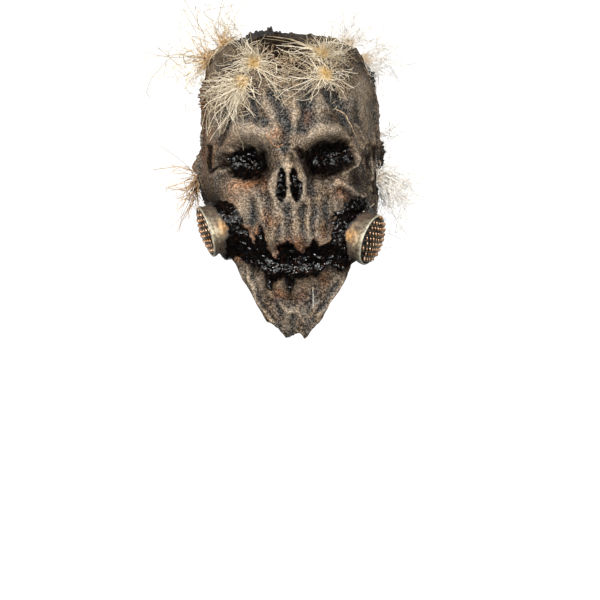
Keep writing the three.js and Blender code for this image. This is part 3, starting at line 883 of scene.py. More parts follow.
def skin_grid():
    """Angles and rings of the outside's grid, a row below the crown for each row of the arrays."""
    face = np.arange(-FACE_EDGE, FACE_EDGE, FACE_STEP)
    back = np.arange(FACE_EDGE, 360 - FACE_EDGE, BACK_STEP)
    angles = np.concatenate([face, np.where(back > 180, back - 360, back)])
    rim_z = np.interp(np.abs(angles), RIM[:, 0], RIM[:, 1])
    rim_z = rim_z - SAG * np.exp(-(((angles - SAG_ANGLE) / SAG_SPREAD) ** 2))
    turn = np.radians(angles)
    around = np.stack([RIM_RADIUS * np.sin(turn), RIM_RADIUS * np.cos(turn), 0 * turn], axis=-1)
    tears = RIM_TEARS + CHIN_TEARS * smoothstep(*CHIN_ANGLES, np.abs(angles))
    rim_ring = ring_at_height(rim_z + layered(around, "rim") * tears)
    level = LEVEL_RING * np.arange(1, LEVEL_ROWS + 1)[:, None] / LEVEL_ROWS + 0 * angles
    fall = np.arange(1, FALLING_ROWS + 1)[:, None] / FALLING_ROWS
    falling = LEVEL_RING + fall * (rim_ring - LEVEL_RING)
    rings = np.concatenate([level, falling])
    return np.broadcast_to(angles, rings.shape), rings


print("rows and columns of the skin:", skin_grid()[0].shape)

# %% Meshes from arrays
def grid_faces(rows, columns, first):
    """Corner numbers of a grid's squares, closed round its columns, facing out where the rows run down."""
    row, column = np.meshgrid(np.arange(rows - 1), np.arange(columns), indexing="ij")
    here = first + row * columns + column
    beside = first + row * columns + (column + 1) % columns
    return np.stack([here, here + columns, beside + columns, beside], axis=-1).reshape(-1, 4)


def crown_faces(columns, crown, first):
    """Triangles from the crown's point to the first row."""
    column = np.arange(columns)
    return np.stack([np.full(columns, crown), first + column, first + (column + 1) % columns], axis=-1)


def mesh_object(name, places_mm, faces, smooth=True):
    """An object at the origin, from places in millimetres and a list of corner-number arrays."""
    mesh = bpy.data.meshes.new(name)
    polygons = [face for block in faces for face in np.asarray(block).tolist()]
    mesh.from_pydata((np.asarray(places_mm, float) * MM).tolist(), [], polygons)
    if smooth:
        mesh.shade_smooth()
    mesh.validate()
    made = bpy.data.objects.new(name, mesh)
    bpy.context.collection.objects.link(made)
    return made


def paint(made, masks):
    """Stores masks as point attributes."""
    for name, values in masks.items():
        layer = made.data.attributes.new(name, "FLOAT", "POINT")
        layer.data.foreach_set("value", np.ascontiguousarray(values, np.float32))


# %% Wear, painted highlight and painted shade from the shape
def blurred(heights, reach):
    """Heights averaged over a square of the grid, round its columns and up to its first and last row."""
    across = sum(np.roll(heights, step, axis=1) for step in range(-reach, reach + 1)) / (2 * reach + 1)
    padded = np.pad(across, ((reach, reach), (0, 0)), mode="edge")
    rows = len(heights)
    return sum(padded[step : step + rows] for step in range(2 * reach + 1)) / (2 * reach + 1)


# %% Build the skin
WEAR_AND_SHADE_REACH = 5
WEAR_AND_HIGHLIGHT_HEIGHT = 2
HOLLOW_SHADE_DEPTH = 1.6


def inner_wall(base, normal, detail):
    """The inside, a wall behind the deepest detail near each point, on every second row and column."""
    dip = np.minimum(detail, 0)
    dip = np.minimum(dip, np.roll(dip, 1, axis=1))
    dip = np.minimum(dip, np.roll(dip, -1, axis=1))
    return (base + normal * (dip - WALL)[..., None])[1::2, ::2]


def lip_faces(rim, inner_rim):
    """Triangles of the open edge, between an outer row and an inner row with half as many points."""
    middle = rim[1::2]
    ends = np.roll(rim[0::2], -1)
    following = np.roll(inner_rim, -1)
    corners = [(rim[0::2], inner_rim, middle), (middle, inner_rim, following), (middle, following, ends)]
    return np.concatenate([np.stack(triangles, axis=-1) for triangles in corners])


def skin_wall():
    """Grids of the skin's outside and inside, and the outside's paint masks, with wear and painted highlight
    on its crests and painted shade in its hollows.
    """
    angle, ring = skin_grid()
    plain = sack_points(angle, ring)
    normal = sack_normals(angle, ring)
    relief = skin_lift(angle, ring, plain)
    base = plain + normal * relief[..., None]
    detail, masks = sculpt(angle, base)
    proud = relief + detail - blurred(relief + detail, WEAR_AND_SHADE_REACH)
    # high: pale dry-brush paint on crests, partly painted highlight
    masks["high"] = np.clip(proud / WEAR_AND_HIGHLIGHT_HEIGHT, 0, 1)
    # low: painted shade where the skin lies below its surroundings
    masks["low"] = np.clip(-proud / HOLLOW_SHADE_DEPTH, 0, 1)
    return base + normal * detail[..., None], inner_wall(base, normal, detail), masks


def build_skin():
    """The closed latex wall, with its paint masks."""
    outside, inside, masks = skin_wall()
    rows, columns = outside.shape[:2]
    inner_rows, inner_columns = inside.shape[:2]
    crowns = [CROWN], [CROWN - [0, 0, WALL]]
    places = np.concatenate([crowns[0], outside.reshape(-1, 3), crowns[1], inside.reshape(-1, 3)])
    inner_crown = 1 + rows * columns
    first = inner_crown + 1
    rim = 1 + (rows - 1) * columns + np.arange(columns)
    inner_rim = first + (inner_rows - 1) * inner_columns + np.arange(inner_columns)
    faces = [
        crown_faces(columns, 0, 1),
        grid_faces(rows, columns, 1),
        crown_faces(inner_columns, inner_crown, first)[:, ::-1],
        grid_faces(inner_rows, inner_columns, first)[:, ::-1],
        lip_faces(rim, inner_rim),
    ]
    skin = mesh_object("latex_skin", places, faces)
    unpainted = len(places) - inner_crown
    for name, values in masks.items():
        paint(skin, {name: np.concatenate([[0], values.ravel(), np.zeros(unpainted)])})
    paint(skin, {"inside": np.concatenate([np.zeros(inner_crown), np.ones(unpainted)])})
    return skin


skin = build_skin()
print("skin faces:", len(skin.data.polygons))

# %% [markdown]
# ### Its finish
#
# The latex was cast from real burlap and dry-brushed, so the threads' tops are pale tan and the gaps dark
# brown. Painted shade lies grey in the folds and hollows and black in the slits, and the crests take pale
# paint with a painted highlight. Rust is washed over the cheeks, and black gloss tar fills the eyes and
# mouth. A painted image would need the skin unwrapped flat. Here each wash is mixed over the one below it
# by a mask that the sculpting left on the points, in the order in which a painter lays them on.

# %% Wet tar
TAR_LUMP_MM = 3  # coarser than real lumps, so that a glint is as large as a pixel
TAR_CRUST_MM = 3
TAR_PUDDLE_MM = 6
TAR_LUMP_HEIGHT_MM = 1.4


def wet_tar():
    """Varnish over black lumps: dull black to the eye, with white glints where a wet lump faces a bulb."""
    material, tree, shader = new_material("gloss varnish on black tar", 0.3, Specular_IOR_Level=0.2)
    place = add(tree, "ShaderNodeTexCoord").outputs["Object"]
    crust = add(tree, NOISE, {"Vector": place, "Scale": 1000 / TAR_CRUST_MM, "Detail": 2.0})
    share = add(tree, MAP_RANGE, {"Value": crust, "From Min": 0.57, "From Max": 0.8})
    colour = add(tree, MIX, {"Factor": share, "A": "#020101", "B": "#2a170d"}, **COLOUR)
    feed(tree, shader, {"Base Color": colour})
    puddles = add(tree, NOISE, {"Vector": place, "Scale": 1000 / TAR_PUDDLE_MM, "Detail": 2.0})
    wet = {"Value": puddles, "From Min": 0.4, "From Max": 0.58, "To Min": 0.32, "To Max": 0.07}
    wet = add(tree, MAP_RANGE, wet)
    feed(tree, shader, {"Roughness": wet})
    lumps = add(tree, NOISE, {"Vector": place, "Scale": 1000 / TAR_LUMP_MM, "Detail": 1.0})
    bumps = {"Height": lumps, "Strength": 1.0, "Distance": TAR_LUMP_HEIGHT_MM * MM}
    bumps = add(tree, "ShaderNodeBump", bumps)
    feed(tree, shader, {"Normal": bumps})
    return material


# %% Burlap-cast latex
THREAD_MM = 1.3  # coarser than real burlap, so that the threads show at a pixel a millimetre
THREAD_LENGTH = 2
THREAD_HEIGHT_MM = 0.7
BLOTCH_MM = 13


def burlap_grain(tree, place):
    """How far a spot is on top of a thread, and how far it lies in a warm blotch of the cloth."""
    lying = []
    for stretch in ((1 / THREAD_LENGTH, 1 / THREAD_LENGTH, 1.0), (1.0, 1.0, 1 / THREAD_LENGTH)):
        run = add(tree, "ShaderNodeMapping", {"Vector": place, "Scale": stretch})
        run = {"Vector": run, "Scale": 1000 / THREAD_MM, "Detail": 1.0, "Distortion": 0.6}
        lying.append(add(tree, NOISE, run))
    tops = add(tree, MATH, {0: lying[0], 1: lying[1]}, **GREATER)
    tops = add(tree, MAP_RANGE, {"Value": tops, "From Min": 0.5, "From Max": 0.65})
    blotch = add(tree, NOISE, {"Vector": place, "Scale": 1000 / BLOTCH_MM, "Detail": 3.0})
    patch = add(tree, MAP_RANGE, {"Value": blotch, "From Min": 0.35, "From Max": 0.65})
    return tops, patch


def burlap_latex():
    """Painted latex cast from burlap: matt, with short pale threads across each other over dark gaps."""
    material, tree, shader = new_material("latex cast from burlap", 0.85, Specular_IOR_Level=0.05)
    place = add(tree, "ShaderNodeTexCoord").outputs["Object"]
    mask = {
        name: add(tree, "ShaderNodeAttribute", attribute_name=name).outputs["Fac"]
        for name in ("tar", "groove", "ridge", "soot", "rust", "high", "low", "inside")
    }
    tops, patch = burlap_grain(tree, place)

    gaps = add(tree, MIX, {"Factor": patch, "A": "#22211f", "B": "#2a2119"}, **COLOUR)
    raised = add(tree, MIX, {"Factor": patch, "A": "#6f6962", "B": "#89745d"}, **COLOUR)
    colour = add(tree, MIX, {"Factor": tops, "A": gaps, "B": raised}, **COLOUR)
    # Painted shade: grey in the grooves and hollows, where shade falls.
    hollow = add(tree, MATH, {0: mask["groove"], 1: mask["low"]}, **GREATER)
    shade = add(tree, MATH, {0: hollow, 1: 0.92}, **TIMES)
    hollow_shade_colour = add(tree, MIX, {"Factor": tops, "A": "#131313", "B": "#504f4d"}, **COLOUR)
    colour = add(tree, MIX, {"Factor": shade, "A": colour, "B": hollow_shade_colour}, **COLOUR)
    # Pale dry-brush paint and painted highlight on the crests.
    crest = add(tree, MATH, {0: mask["ridge"], 1: mask["high"]}, **GREATER)
    bright = add(tree, MAP_RANGE, {"Value": tops, "To Min": 0.45, "To Max": 0.8})
    bright = add(tree, MATH, {0: crest, 1: bright}, **TIMES)
    bright = {"Factor": bright, "A": colour, "B": "#8c7b67"}
    colour = add(tree, MIX, bright, blend_type="SCREEN", **COLOUR)
    rusty = add(tree, MAP_RANGE, {"Value": patch, "To Min": 0.4, "To Max": 1.0})
    rusty = add(tree, MATH, {0: mask["rust"], 1: rusty}, **TIMES)
    stain = add(tree, MIX, {"Factor": tops, "A": "#3a2116", "B": "#ac724b"}, **COLOUR)
    colour = add(tree, MIX, {"Factor": rusty, "A": colour, "B": stain}, **COLOUR)
    # Soot, with the painted shade from the table of washes and from the slits.
    sooty = add(tree, MATH, {0: mask["soot"], 1: 0.95}, **TIMES)
    black = add(tree, MIX, {"Factor": tops, "A": "#070504", "B": "#281a0d"}, **COLOUR)
    colour = add(tree, MIX, {"Factor": sooty, "A": colour, "B": black}, **COLOUR)
    colour = add(tree, MIX, {"Factor": mask["tar"], "A": colour, "B": "#040303"}, **COLOUR)
    colour = add(tree, MIX, {"Factor": mask["inside"], "A": colour, "B": "#2b231d"}, **COLOUR)
    feed(tree, shader, {"Base Color": colour})

    rough = add(tree, MAP_RANGE, {"Value": mask["tar"], "To Min": 0.85, "To Max": 0.2})
    feed(tree, shader, {"Roughness": rough})
    bumps = add(tree, "ShaderNodeBump", {"Height": tops, "Strength": 0.8, "Distance": THREAD_HEIGHT_MM * MM})
    feed(tree, shader, {"Normal": bumps})
    return material


# %% Which faces are tar
TAR_SHARE = 0.8
tar_material = wet_tar()


def finish_faces(piece, finish):
    """Gives a piece its finish, and the tar's to each face whose corners are nearly all tar."""
    piece.data.materials.append(finish)
    piece.data.materials.append(tar_material)
    tar = np.array([point.value for point in piece.data.attributes["tar"].data])
    for polygon in piece.data.polygons:
        polygon.material_index = int(tar[list(polygon.vertices)].mean() > TAR_SHARE)
    print(piece.name, "faces of tar:", sum(polygon.material_index for polygon in piece.data.polygons))


finish_faces(skin, burlap_latex())

# %% [markdown]
# ### Eye and nostril openings
#
# The wearer looks out through the eyes and breathes through the nostrils. Faces left out of the grid would
# leave jagged holes, so four oval cutters go straight in from the front. They stop inside the hollow, so
# that the back of the head stays whole.

# %% Cut the openings
HOLES = {  # x, z, wide, high, tilt
    "eye_left": (-39, -128, 9, 6, 0),
    "eye_right": (40, -126, 9, 6, 14),
    "nostril_left": (-8.5, -160, 3.2, 6.5, 0),
    "nostril_right": (7, -159, 3.2, 6.5, 7),
}
HOLE_SIDES = 32
HOLE_FRONT = -140
HOLE_BACK = -60


def hole_cutter(name, row):
    """An oval rod along Y."""
    turn = np.linspace(0, 2 * np.pi, HOLE_SIDES, endpoint=False)
    across = row[2] * np.cos(turn)
    up = row[3] * np.sin(turn)
    c = math.cos(math.radians(row[4]))
    s = math.sin(math.radians(row[4]))
    x = row[0] + c * across - s * up
    z = row[1] + s * across + c * up
    rod = [np.stack([x, np.full(HOLE_SIDES, y), z], axis=-1) for y in (HOLE_FRONT, HOLE_BACK)]
    near = np.arange(HOLE_SIDES)
    beside = np.roll(near, -1)
    wall = np.stack([near, beside, beside + HOLE_SIDES, near + HOLE_SIDES], axis=-1)
    cutter = mesh_object("cutter_" + name, np.concatenate(rod), [wall, [near[::-1]], [near + HOLE_SIDES]])
    paint(cutter, {"tar": np.ones(2 * HOLE_SIDES)})
    return cutter


def settle(piece):
    """Turns what a piece's modifiers make into its plain mesh, and removes the modifiers."""
    seen = piece.evaluated_get(bpy.context.evaluated_depsgraph_get())
    made = bpy.data.meshes.new_from_object(seen)
    piece.modifiers.clear()
    piece.data = made
    made.name = piece.name


def cut(piece, cutter):
    """Takes the cutter's solid out of the piece, and the cutter out of the scene."""
    tool = piece.modifiers.new("cut", "BOOLEAN")
    tool.operation = "DIFFERENCE"
    tool.solver = "MANIFOLD"
    tool.object = cutter
    settle(piece)
    bpy.data.objects.remove(cutter)


for hole_name, hole_row in HOLES.items():
    cut(skin, hole_cutter(hole_name, hole_row))
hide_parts("mask_shell")
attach(skin, "root")
print("skin faces with its openings:", len(skin.data.polygons))

# %% [markdown]
# ## Filter cans
#
# Each can is a short painted tin, glued to the cheek in a bed of tar. A screw modifier could turn its
# outline, but the dents and the tar's lumps would then need a second step, so the turned grid is made from
# arrays too. Its foot is cut to the shape of the cheek. The cutter is the plain sack, closed below.

# %% The plain sack as a solid
FORM_COLUMNS = 120
FORM_ROWS = 90


def sack_form(name, grow):
    """The sack with its relief as one closed solid, grown by so many millimetres."""
    turns = np.linspace(-180, 180, FORM_COLUMNS, endpoint=False)
    angle, ring = np.meshgrid(turns, np.linspace(0, len(RINGS) - 1, FORM_ROWS + 1)[1:])
    plain = sack_points(angle, ring)
    raised = plain + sack_normals(angle, ring) * (skin_lift(angle, ring, plain) + grow)[..., None]
    last = 1 + (FORM_ROWS - 1) * FORM_COLUMNS + np.arange(FORM_COLUMNS)
    faces = [crown_faces(FORM_COLUMNS, 0, 1), grid_faces(FORM_ROWS, FORM_COLUMNS, 1), [last[::-1]]]
    return mesh_object(name, np.concatenate([[CROWN + [0, 0, grow]], raised.reshape(-1, 3)]), faces)


# %% Outline and tar of a can, in millimetres
CAN_OUTLINE = [  # radius, height over the mouth
    (0, -46),
    (23.5, -46),
    (23.9, -30),
    (24.3, -16),
    (24.5, -5.2),
    (24.9, -4.6),
    (25.5, -4),
    (25.6, -2.5),
    (25.6, -0.8),
    (25.2, -0.2),
    (24.6, 0),
    (24, -0.2),
    (23.6, -0.8),
    (23.6, -2),
    (21.6, -2),
    (21.6, -6),
    (0, -6),
]
CAN_STEP = 1.6
CAN_SIDES = 96
CAN_BED = -1.2
CAN_OUTSIDE = 22.5
CAN_RECESS = 23.9
CAN_RIM = -1.2
CAN_TAR_DEPTH = {"left": 0.39, "right": 0.43}
CAN_TAR_TURN = {"up": 0.15, "down": 0.2}
CAN_TAR_EDGE = (-0.03, 0.03)
CAN_TAR_COAT = 0.8
CAN_TAR_DRIP = {"left": 8, "right": 5}
DRIP_DEPTHS = (0.0, 0.06)
DRIP_TURN = (-0.7, -0.95)
# extra painted shade on each can, added all round
CAN_SHADE_OFFSET = {"left": 0.12, "right": 0.05}


def fine_outline(outline, step):
    """The same outline with points no further apart than step."""
    made = []
    for start, end in zip(outline, outline[1:]):
        count = max(1, math.ceil(math.dist(start, end) / step))
        made += [tuple(np.array(start) + (np.array(end) - start) * i / count) for i in range(count)]
    return made + [outline[-1]]


def can_turn(aim):
    """The turn that points a can's own +Y along aim and keeps its +Z upright, as a 3 by 3 array."""
    ahead = aim / np.linalg.norm(aim)
    across = np.cross(ahead, [0, 0, 1])
    across = across / np.linalg.norm(across)
    return np.stack([across, ahead, np.cross(across, ahead)], axis=-1)


def can_tar(side, local, outer):
    """How far each point of a can is tarred, and how high the tar's lumps and drips stand there."""
    upward = local[..., 2] / CAN_RADIUS
    turned = np.where(upward > 0, CAN_TAR_TURN["up"], CAN_TAR_TURN["down"])
    shore = CAN_TAR_DEPTH[side] - turned * np.abs(upward)
    tide = -local[..., 1] / CAN_LENGTH - shore + layered(local, "tide")
    tar = outer * smoothstep(*CAN_TAR_EDGE, tide)
    drips = CAN_TAR_DRIP[side] * smoothstep(*DRIP_DEPTHS, tide) * smoothstep(*DRIP_TURN, upward)
    return tar, tar * (CAN_TAR_COAT + layered(local, "can_lumps", turned_up=True) + drips)


# %% Build the cans
def build_can(side):
    """One can, dented, in its place, with lumps of tar round its foot."""
    mouth, aim = CANS[side]
    outline = np.array(fine_outline(CAN_OUTLINE, CAN_STEP))[1:-1]
    turn = np.linspace(0, 2 * np.pi, CAN_SIDES, endpoint=False)
    radius, height = outline[:, :1], outline[:, 1:]
    local = np.stack([radius * np.sin(turn), height + 0 * turn, radius * np.cos(turn)], axis=-1)
    tar, lumps = can_tar(side, local, radius + 0 * turn > CAN_OUTSIDE)
    local[..., [0, 2]] *= (1 + (layered(local, "dents") + lumps) / CAN_RADIUS)[..., None]
    rows = len(outline)
    ends = np.array([[0, CAN_OUTLINE[0][1], 0], [0, CAN_OUTLINE[-1][1], 0]])
    places = np.concatenate([ends, local.reshape(-1, 3)])
    foot = crown_faces(CAN_SIDES, 0, 2)[:, ::-1]
    wall = grid_faces(rows, CAN_SIDES, 2)[:, ::-1]
    floor = crown_faces(CAN_SIDES, 1, 2 + (rows - 1) * CAN_SIDES)
    can = mesh_object("filter_can_" + side + "_tin", places @ can_turn(aim).T + mouth, [foot, wall, floor])
    past_rim = np.arange(rows) >= np.argmax(outline[:, 1])
    inner = past_rim & (outline[:, 0] < CAN_RECESS)
    rim = (outline[:, 1] > CAN_RIM) & (outline[:, 0] > CAN_RECESS)
    masks = {
        "depth": -places[:, 1] / CAN_LENGTH,
        # Painted shade: greyer towards the can's top and bottom, where it turns from the lamps.
        "grime": np.abs(places[:, 2]) / CAN_RADIUS + CAN_SHADE_OFFSET[side],
        # inner: the inside of the mouth, which the finish paints dark as the shade in that recess
        "inner": np.concatenate([[0, 1], inner.repeat(CAN_SIDES)]),
        "rim": np.concatenate([[0, 0], rim.repeat(CAN_SIDES)]),
        "tar": np.concatenate([[1, 0], tar.ravel()]),
    }
    paint(can, masks)
    return can


# %% [markdown]
# ### Their finish
#
# The tins have old off-white enamel: pale at the rim, and stained gold and brown towards the foot. Painted
# shade greys them above and below, where they turn from the lamps, darkens them to brown where it meets
# the stain, and makes the inside of each mouth nearly black. A photograph of rust would not know where the
# foot is. Masks of depth and height do, and noise only breaks their edges.

# %% Painted tin
CHIP_MM = 3
CHIP_DEPTH_MM = 0.7
STREAK_MM = 8


def painted_tin():
    """Off-white enamel on tin: pale where it faces out, grey with painted shade above and below, stained gold
    and brown towards its foot.
    """
    material, tree, shader = new_material("stained enamel on tin", 0.5)
    place = add(tree, "ShaderNodeTexCoord").outputs["Object"]
    mask = {
        name: add(tree, "ShaderNodeAttribute", attribute_name=name).outputs["Fac"]
        for name in ("depth", "inner", "rim", "grime", "tar")
    }
    streak = add(tree, NOISE, {"Vector": place, "Scale": 1000 / STREAK_MM, "Detail": 4.0})
    chips = add(tree, NOISE, {"Vector": place, "Scale": 1000 / CHIP_MM, "Detail": 3.0})
    spots = add(tree, MAP_RANGE, {"Value": chips, "From Min": 0.35, "From Max": 0.65})
    enamel = add(tree, MIX, {"Factor": spots, "A": "#71664f", "B": "#b9ac90"}, **COLOUR)
    reach = add(tree, MATH, {0: streak, 1: 0.5, 2: mask["depth"]}, **TIMES_PLUS)
    rusty = add(tree, MAP_RANGE, {"Value": reach, "From Min": 0.3, "From Max": 0.5})
    rust = add(tree, MIX, {"Factor": spots, "A": "#6b4826", "B": "#b08650"}, **COLOUR)
    colour = add(tree, MIX, {"Factor": rusty, "A": enamel, "B": rust}, **COLOUR)
    # Painted shade: grey above and below, streaked by noise.
    streaked_shade = add(tree, MATH, {0: streak, 1: 0.7, 2: mask["grime"]}, **TIMES_PLUS)
    dim = add(tree, MAP_RANGE, {"Value": streaked_shade, "From Min": 0.42, "From Max": 0.85, "To Max": 0.85})
    grey = add(tree, MIX, {"Factor": spots, "A": "#3d372d", "B": "#6b6455"}, **COLOUR)
    colour = add(tree, MIX, {"Factor": dim, "A": colour, "B": grey}, **COLOUR)
    # Painted shadow: dark brown where the stain and the painted shade meet.
    dark_rust_and_shade = add(tree, MATH, {0: rusty, 1: 0.35, 2: streaked_shade}, **TIMES_PLUS)
    dark_rust_and_shade = add(tree, MAP_RANGE, {"Value": dark_rust_and_shade, "From Min": 0.9, "From Max": 1.4, "To Max": 0.75})
    colour = add(tree, MIX, {"Factor": dark_rust_and_shade, "A": colour, "B": "#2a170b"}, **COLOUR)
    edge = add(tree, MIX, {"Factor": spots, "A": "#756f5f", "B": "#b8b09a"}, **COLOUR)
    colour = add(tree, MIX, {"Factor": mask["rim"], "A": colour, "B": edge}, **COLOUR)
    # Painted shade: the inside of the mouth nearly black.
    colour = add(tree, MIX, {"Factor": mask["inner"], "A": colour, "B": "#15110d"}, **COLOUR)
    colour = add(tree, MIX, {"Factor": mask["tar"], "A": colour, "B": "#040303"}, **COLOUR)
    feed(tree, shader, {"Base Color": colour})
    bumps = add(tree, "ShaderNodeBump", {"Height": chips, "Strength": 0.4, "Distance": CHIP_DEPTH_MM * MM})
    feed(tree, shader, {"Normal": bumps})
    rough = add(tree, MAP_RANGE, {"Value": rusty, "To Min": 0.45, "To Max": 0.8})
    feed(tree, shader, {"Roughness": rough})
    return material


tin = painted_tin()
for can_side in CANS:
    can = build_can(can_side)
    finish_faces(can, tin)
    cut(can, sack_form("cheek", CAN_BED))
    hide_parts("filter_can_" + can_side)
    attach(can, "root")
    print(can.name, len(can.data.polygons), "faces")

# %% [markdown]
# ## Copper mesh
#
# A domed disc of woven copper closes each can. From the front its wires show as rows of bright slanted
# knuckles over dark gaps. Wires bent over and under each other would be hidden for the most part. Things
# that repeat on a grid are work for Geometry Nodes: one tree lays out a grid, keeps what lies inside the
# round edge, lifts it to the dome, and puts a knuckle on every point and a dark wire behind every row. The
# knuckles' brightness is painted highlight, and the dark wires are painted shade in the gaps.

# %% Trees that make meshes
def new_tree(name, inputs):
    """A geometry tree with named inputs, its input node, and the identifier of each input."""
    tree = bpy.data.node_groups.new(name, "GeometryNodeTree")
    tree.interface.new_socket("Geometry", in_out="OUTPUT", socket_type="NodeSocketGeometry")
    names = {}
    for title, kind in inputs.items():
        socket = tree.interface.new_socket(title, in_out="INPUT", socket_type="NodeSocket" + kind)
        names[title] = socket.identifier
    return tree, add(tree, "NodeGroupInput").outputs, names


def grown(name, tree, names, values, start=None):
    """A plain mesh object from a geometry tree, its inputs' values, and the mesh that it starts from."""
    made = bpy.data.objects.new(name, start or bpy.data.meshes.new(name))
    bpy.context.collection.objects.link(made)
    maker = made.modifiers.new("maker", "NODES")
    maker.node_group = tree
    for title, value in values.items():
        maker[names[title]] = value
    settle(made)
    made.data.shade_smooth()
    return made


# %% Knuckles of the mesh
KNUCKLE_SEGMENTS = 8
KNUCKLE_RINGS = 5
KNUCKLE_WEAR = (0.8, 1.15)
WOVEN_SHARE = 0.98


def on_dome(tree, given, geometry, sink):
    """Moves what lies flat in X and Z to the dome, sink below its top."""
    place = add(tree, "GeometryNodeInputPosition")
    off = add(tree, VECTOR_MATH, {0: place}, operation="LENGTH").outputs["Value"]
    share = add(tree, MATH, {0: off, 1: given["Radius"]}, **DIVIDE)
    share = add(tree, MATH, {0: share, 1: share}, **TIMES)
    share = add(tree, MATH, {0: 1.0, 1: share}, **MINUS)
    lift = add(tree, MATH, {0: share, 1: given["Rise"]}, **TIMES)
    lift = add(tree, MATH, {0: lift, 1: sink}, **MINUS)
    up = add(tree, COMBINE, {"Y": lift})
    return add(tree, SET_POSITION, {"Geometry": geometry, "Offset": up})


def knuckles(tree, given):
    """Slanted knuckles of bright wire, in rows that are shifted by half a step in turn."""
    counts = []
    for spacing in ("Step", "Row"):
        count = add(tree, MATH, {0: given["Radius"], 1: given[spacing]}, **DIVIDE)
        count = add(tree, MATH, {0: count}, operation="CEIL")
        counts.append(add(tree, MATH, {0: count, 1: 2.0, 2: 1.0}, **TIMES_PLUS))
    across, down = counts
    total = add(tree, MATH, {0: across, 1: down}, **TIMES)
    number = add(tree, "GeometryNodeInputIndex")
    column = add(tree, MATH, {0: number, 1: across}, operation="FLOORED_MODULO")
    row = add(tree, MATH, {0: number, 1: across}, **DIVIDE)
    row = add(tree, MATH, {0: row}, operation="FLOOR")
    shift = add(tree, MATH, {0: row, 1: 2.0}, operation="FLOORED_MODULO")
    column = add(tree, MATH, {0: shift, 1: 0.5, 2: column}, **TIMES_PLUS)
    x = add(tree, MATH, {0: column, 1: given["Step"]}, **TIMES)
    x = add(tree, MATH, {0: x, 1: given["Radius"]}, **MINUS)
    z = add(tree, MATH, {0: row, 1: given["Row"]}, **TIMES)
    z = add(tree, MATH, {0: z, 1: given["Radius"]}, **MINUS)
    spot = add(tree, COMBINE, {"X": x, "Z": z})
    points = add(tree, "GeometryNodePoints", {"Count": total, "Position": spot})
    off = add(tree, VECTOR_MATH, {0: add(tree, "GeometryNodeInputPosition")}, operation="LENGTH")
    edge = add(tree, MATH, {0: given["Radius"], 1: WOVEN_SHARE}, **TIMES)
    past = add(tree, MATH, {0: off.outputs["Value"], 1: edge}, operation="GREATER_THAN")
    points = add(tree, "GeometryNodeDeleteGeometry", {"Geometry": points, "Selection": past}, domain="POINT")
    points = on_dome(tree, given, points, 0.0)
    bead = {"Segments": KNUCKLE_SEGMENTS, "Rings": KNUCKLE_RINGS, "Radius": 1.0}
    bead = add(tree, "GeometryNodeMeshUVSphere", bead)
    worn = {"Min": KNUCKLE_WEAR[0], "Max": KNUCKLE_WEAR[1], "Seed": given["Seed"]}
    worn = add(tree, RANDOM, worn, data_type="FLOAT").outputs[1]
    size = add(tree, VECTOR_MATH, {0: given["Knuckle"], "Scale": worn}, **SCALE)
    set_out = {"Points": points, "Instance": bead, "Rotation": given["Slant"], "Scale": size}
    return add(tree, "GeometryNodeInstanceOnPoints", set_out)


# %% Wires behind the knuckles
WIRE_POINTS = 24
WIRE_SIDES = 5


def row_wires(tree, given):
    """Dark wires behind the gaps between the rows of knuckles."""
    count = add(tree, MATH, {0: given["Radius"], 1: given["Row"]}, **DIVIDE)
    count = add(tree, MATH, {0: count, 1: 2.0}, **TIMES)
    count = add(tree, MATH, {0: count}, operation="FLOOR")
    start = add(tree, MATH, {0: given["Row"], 1: 0.5, 2: given["Radius"]}, **TIMES_PLUS)
    start = add(tree, MATH, {0: given["Row"], 1: start}, **MINUS)
    first = add(tree, COMBINE, {"Z": start})
    step = add(tree, COMBINE, {"Z": given["Row"]})
    stations = add(tree, "GeometryNodeMeshLine", {"Count": count, "Start Location": first, "Offset": step})
    line = add(tree, "GeometryNodeCurvePrimitiveLine", {"Start": (-1.0, 0.0, 0.0), "End": (1.0, 0.0, 0.0)})
    line = add(tree, "GeometryNodeResampleCurve", {"Curve": line, "Count": WIRE_POINTS})
    wires = add(tree, "GeometryNodeInstanceOnPoints", {"Points": stations, "Instance": line})
    wires = add(tree, REALIZE, {"Geometry": wires})
    place = add(tree, "ShaderNodeSeparateXYZ", {0: add(tree, "GeometryNodeInputPosition")}).outputs
    chord = add(tree, MATH, {0: place["Z"], 1: given["Radius"]}, **DIVIDE)
    chord = add(tree, MATH, {0: chord, 1: chord}, **TIMES)
    chord = add(tree, MATH, {0: 1.0, 1: chord}, **MINUS)
    chord = add(tree, MATH, {0: chord}, operation="SQRT")
    chord = add(tree, MATH, {0: chord, 1: given["Radius"]}, **TIMES)
    x = add(tree, MATH, {0: place["X"], 1: chord}, **TIMES)
    across = add(tree, COMBINE, {"X": x, "Z": place["Z"]})
    wires = add(tree, SET_POSITION, {"Geometry": wires, "Position": across})
    wires = on_dome(tree, given, wires, given["Wire"])
    ring = add(tree, "GeometryNodeCurvePrimitiveCircle", {"Resolution": WIRE_SIDES, "Radius": given["Wire"]})
    return add(tree, "GeometryNodeCurveToMesh", {"Curve": wires, "Profile Curve": ring, "Fill Caps": True})


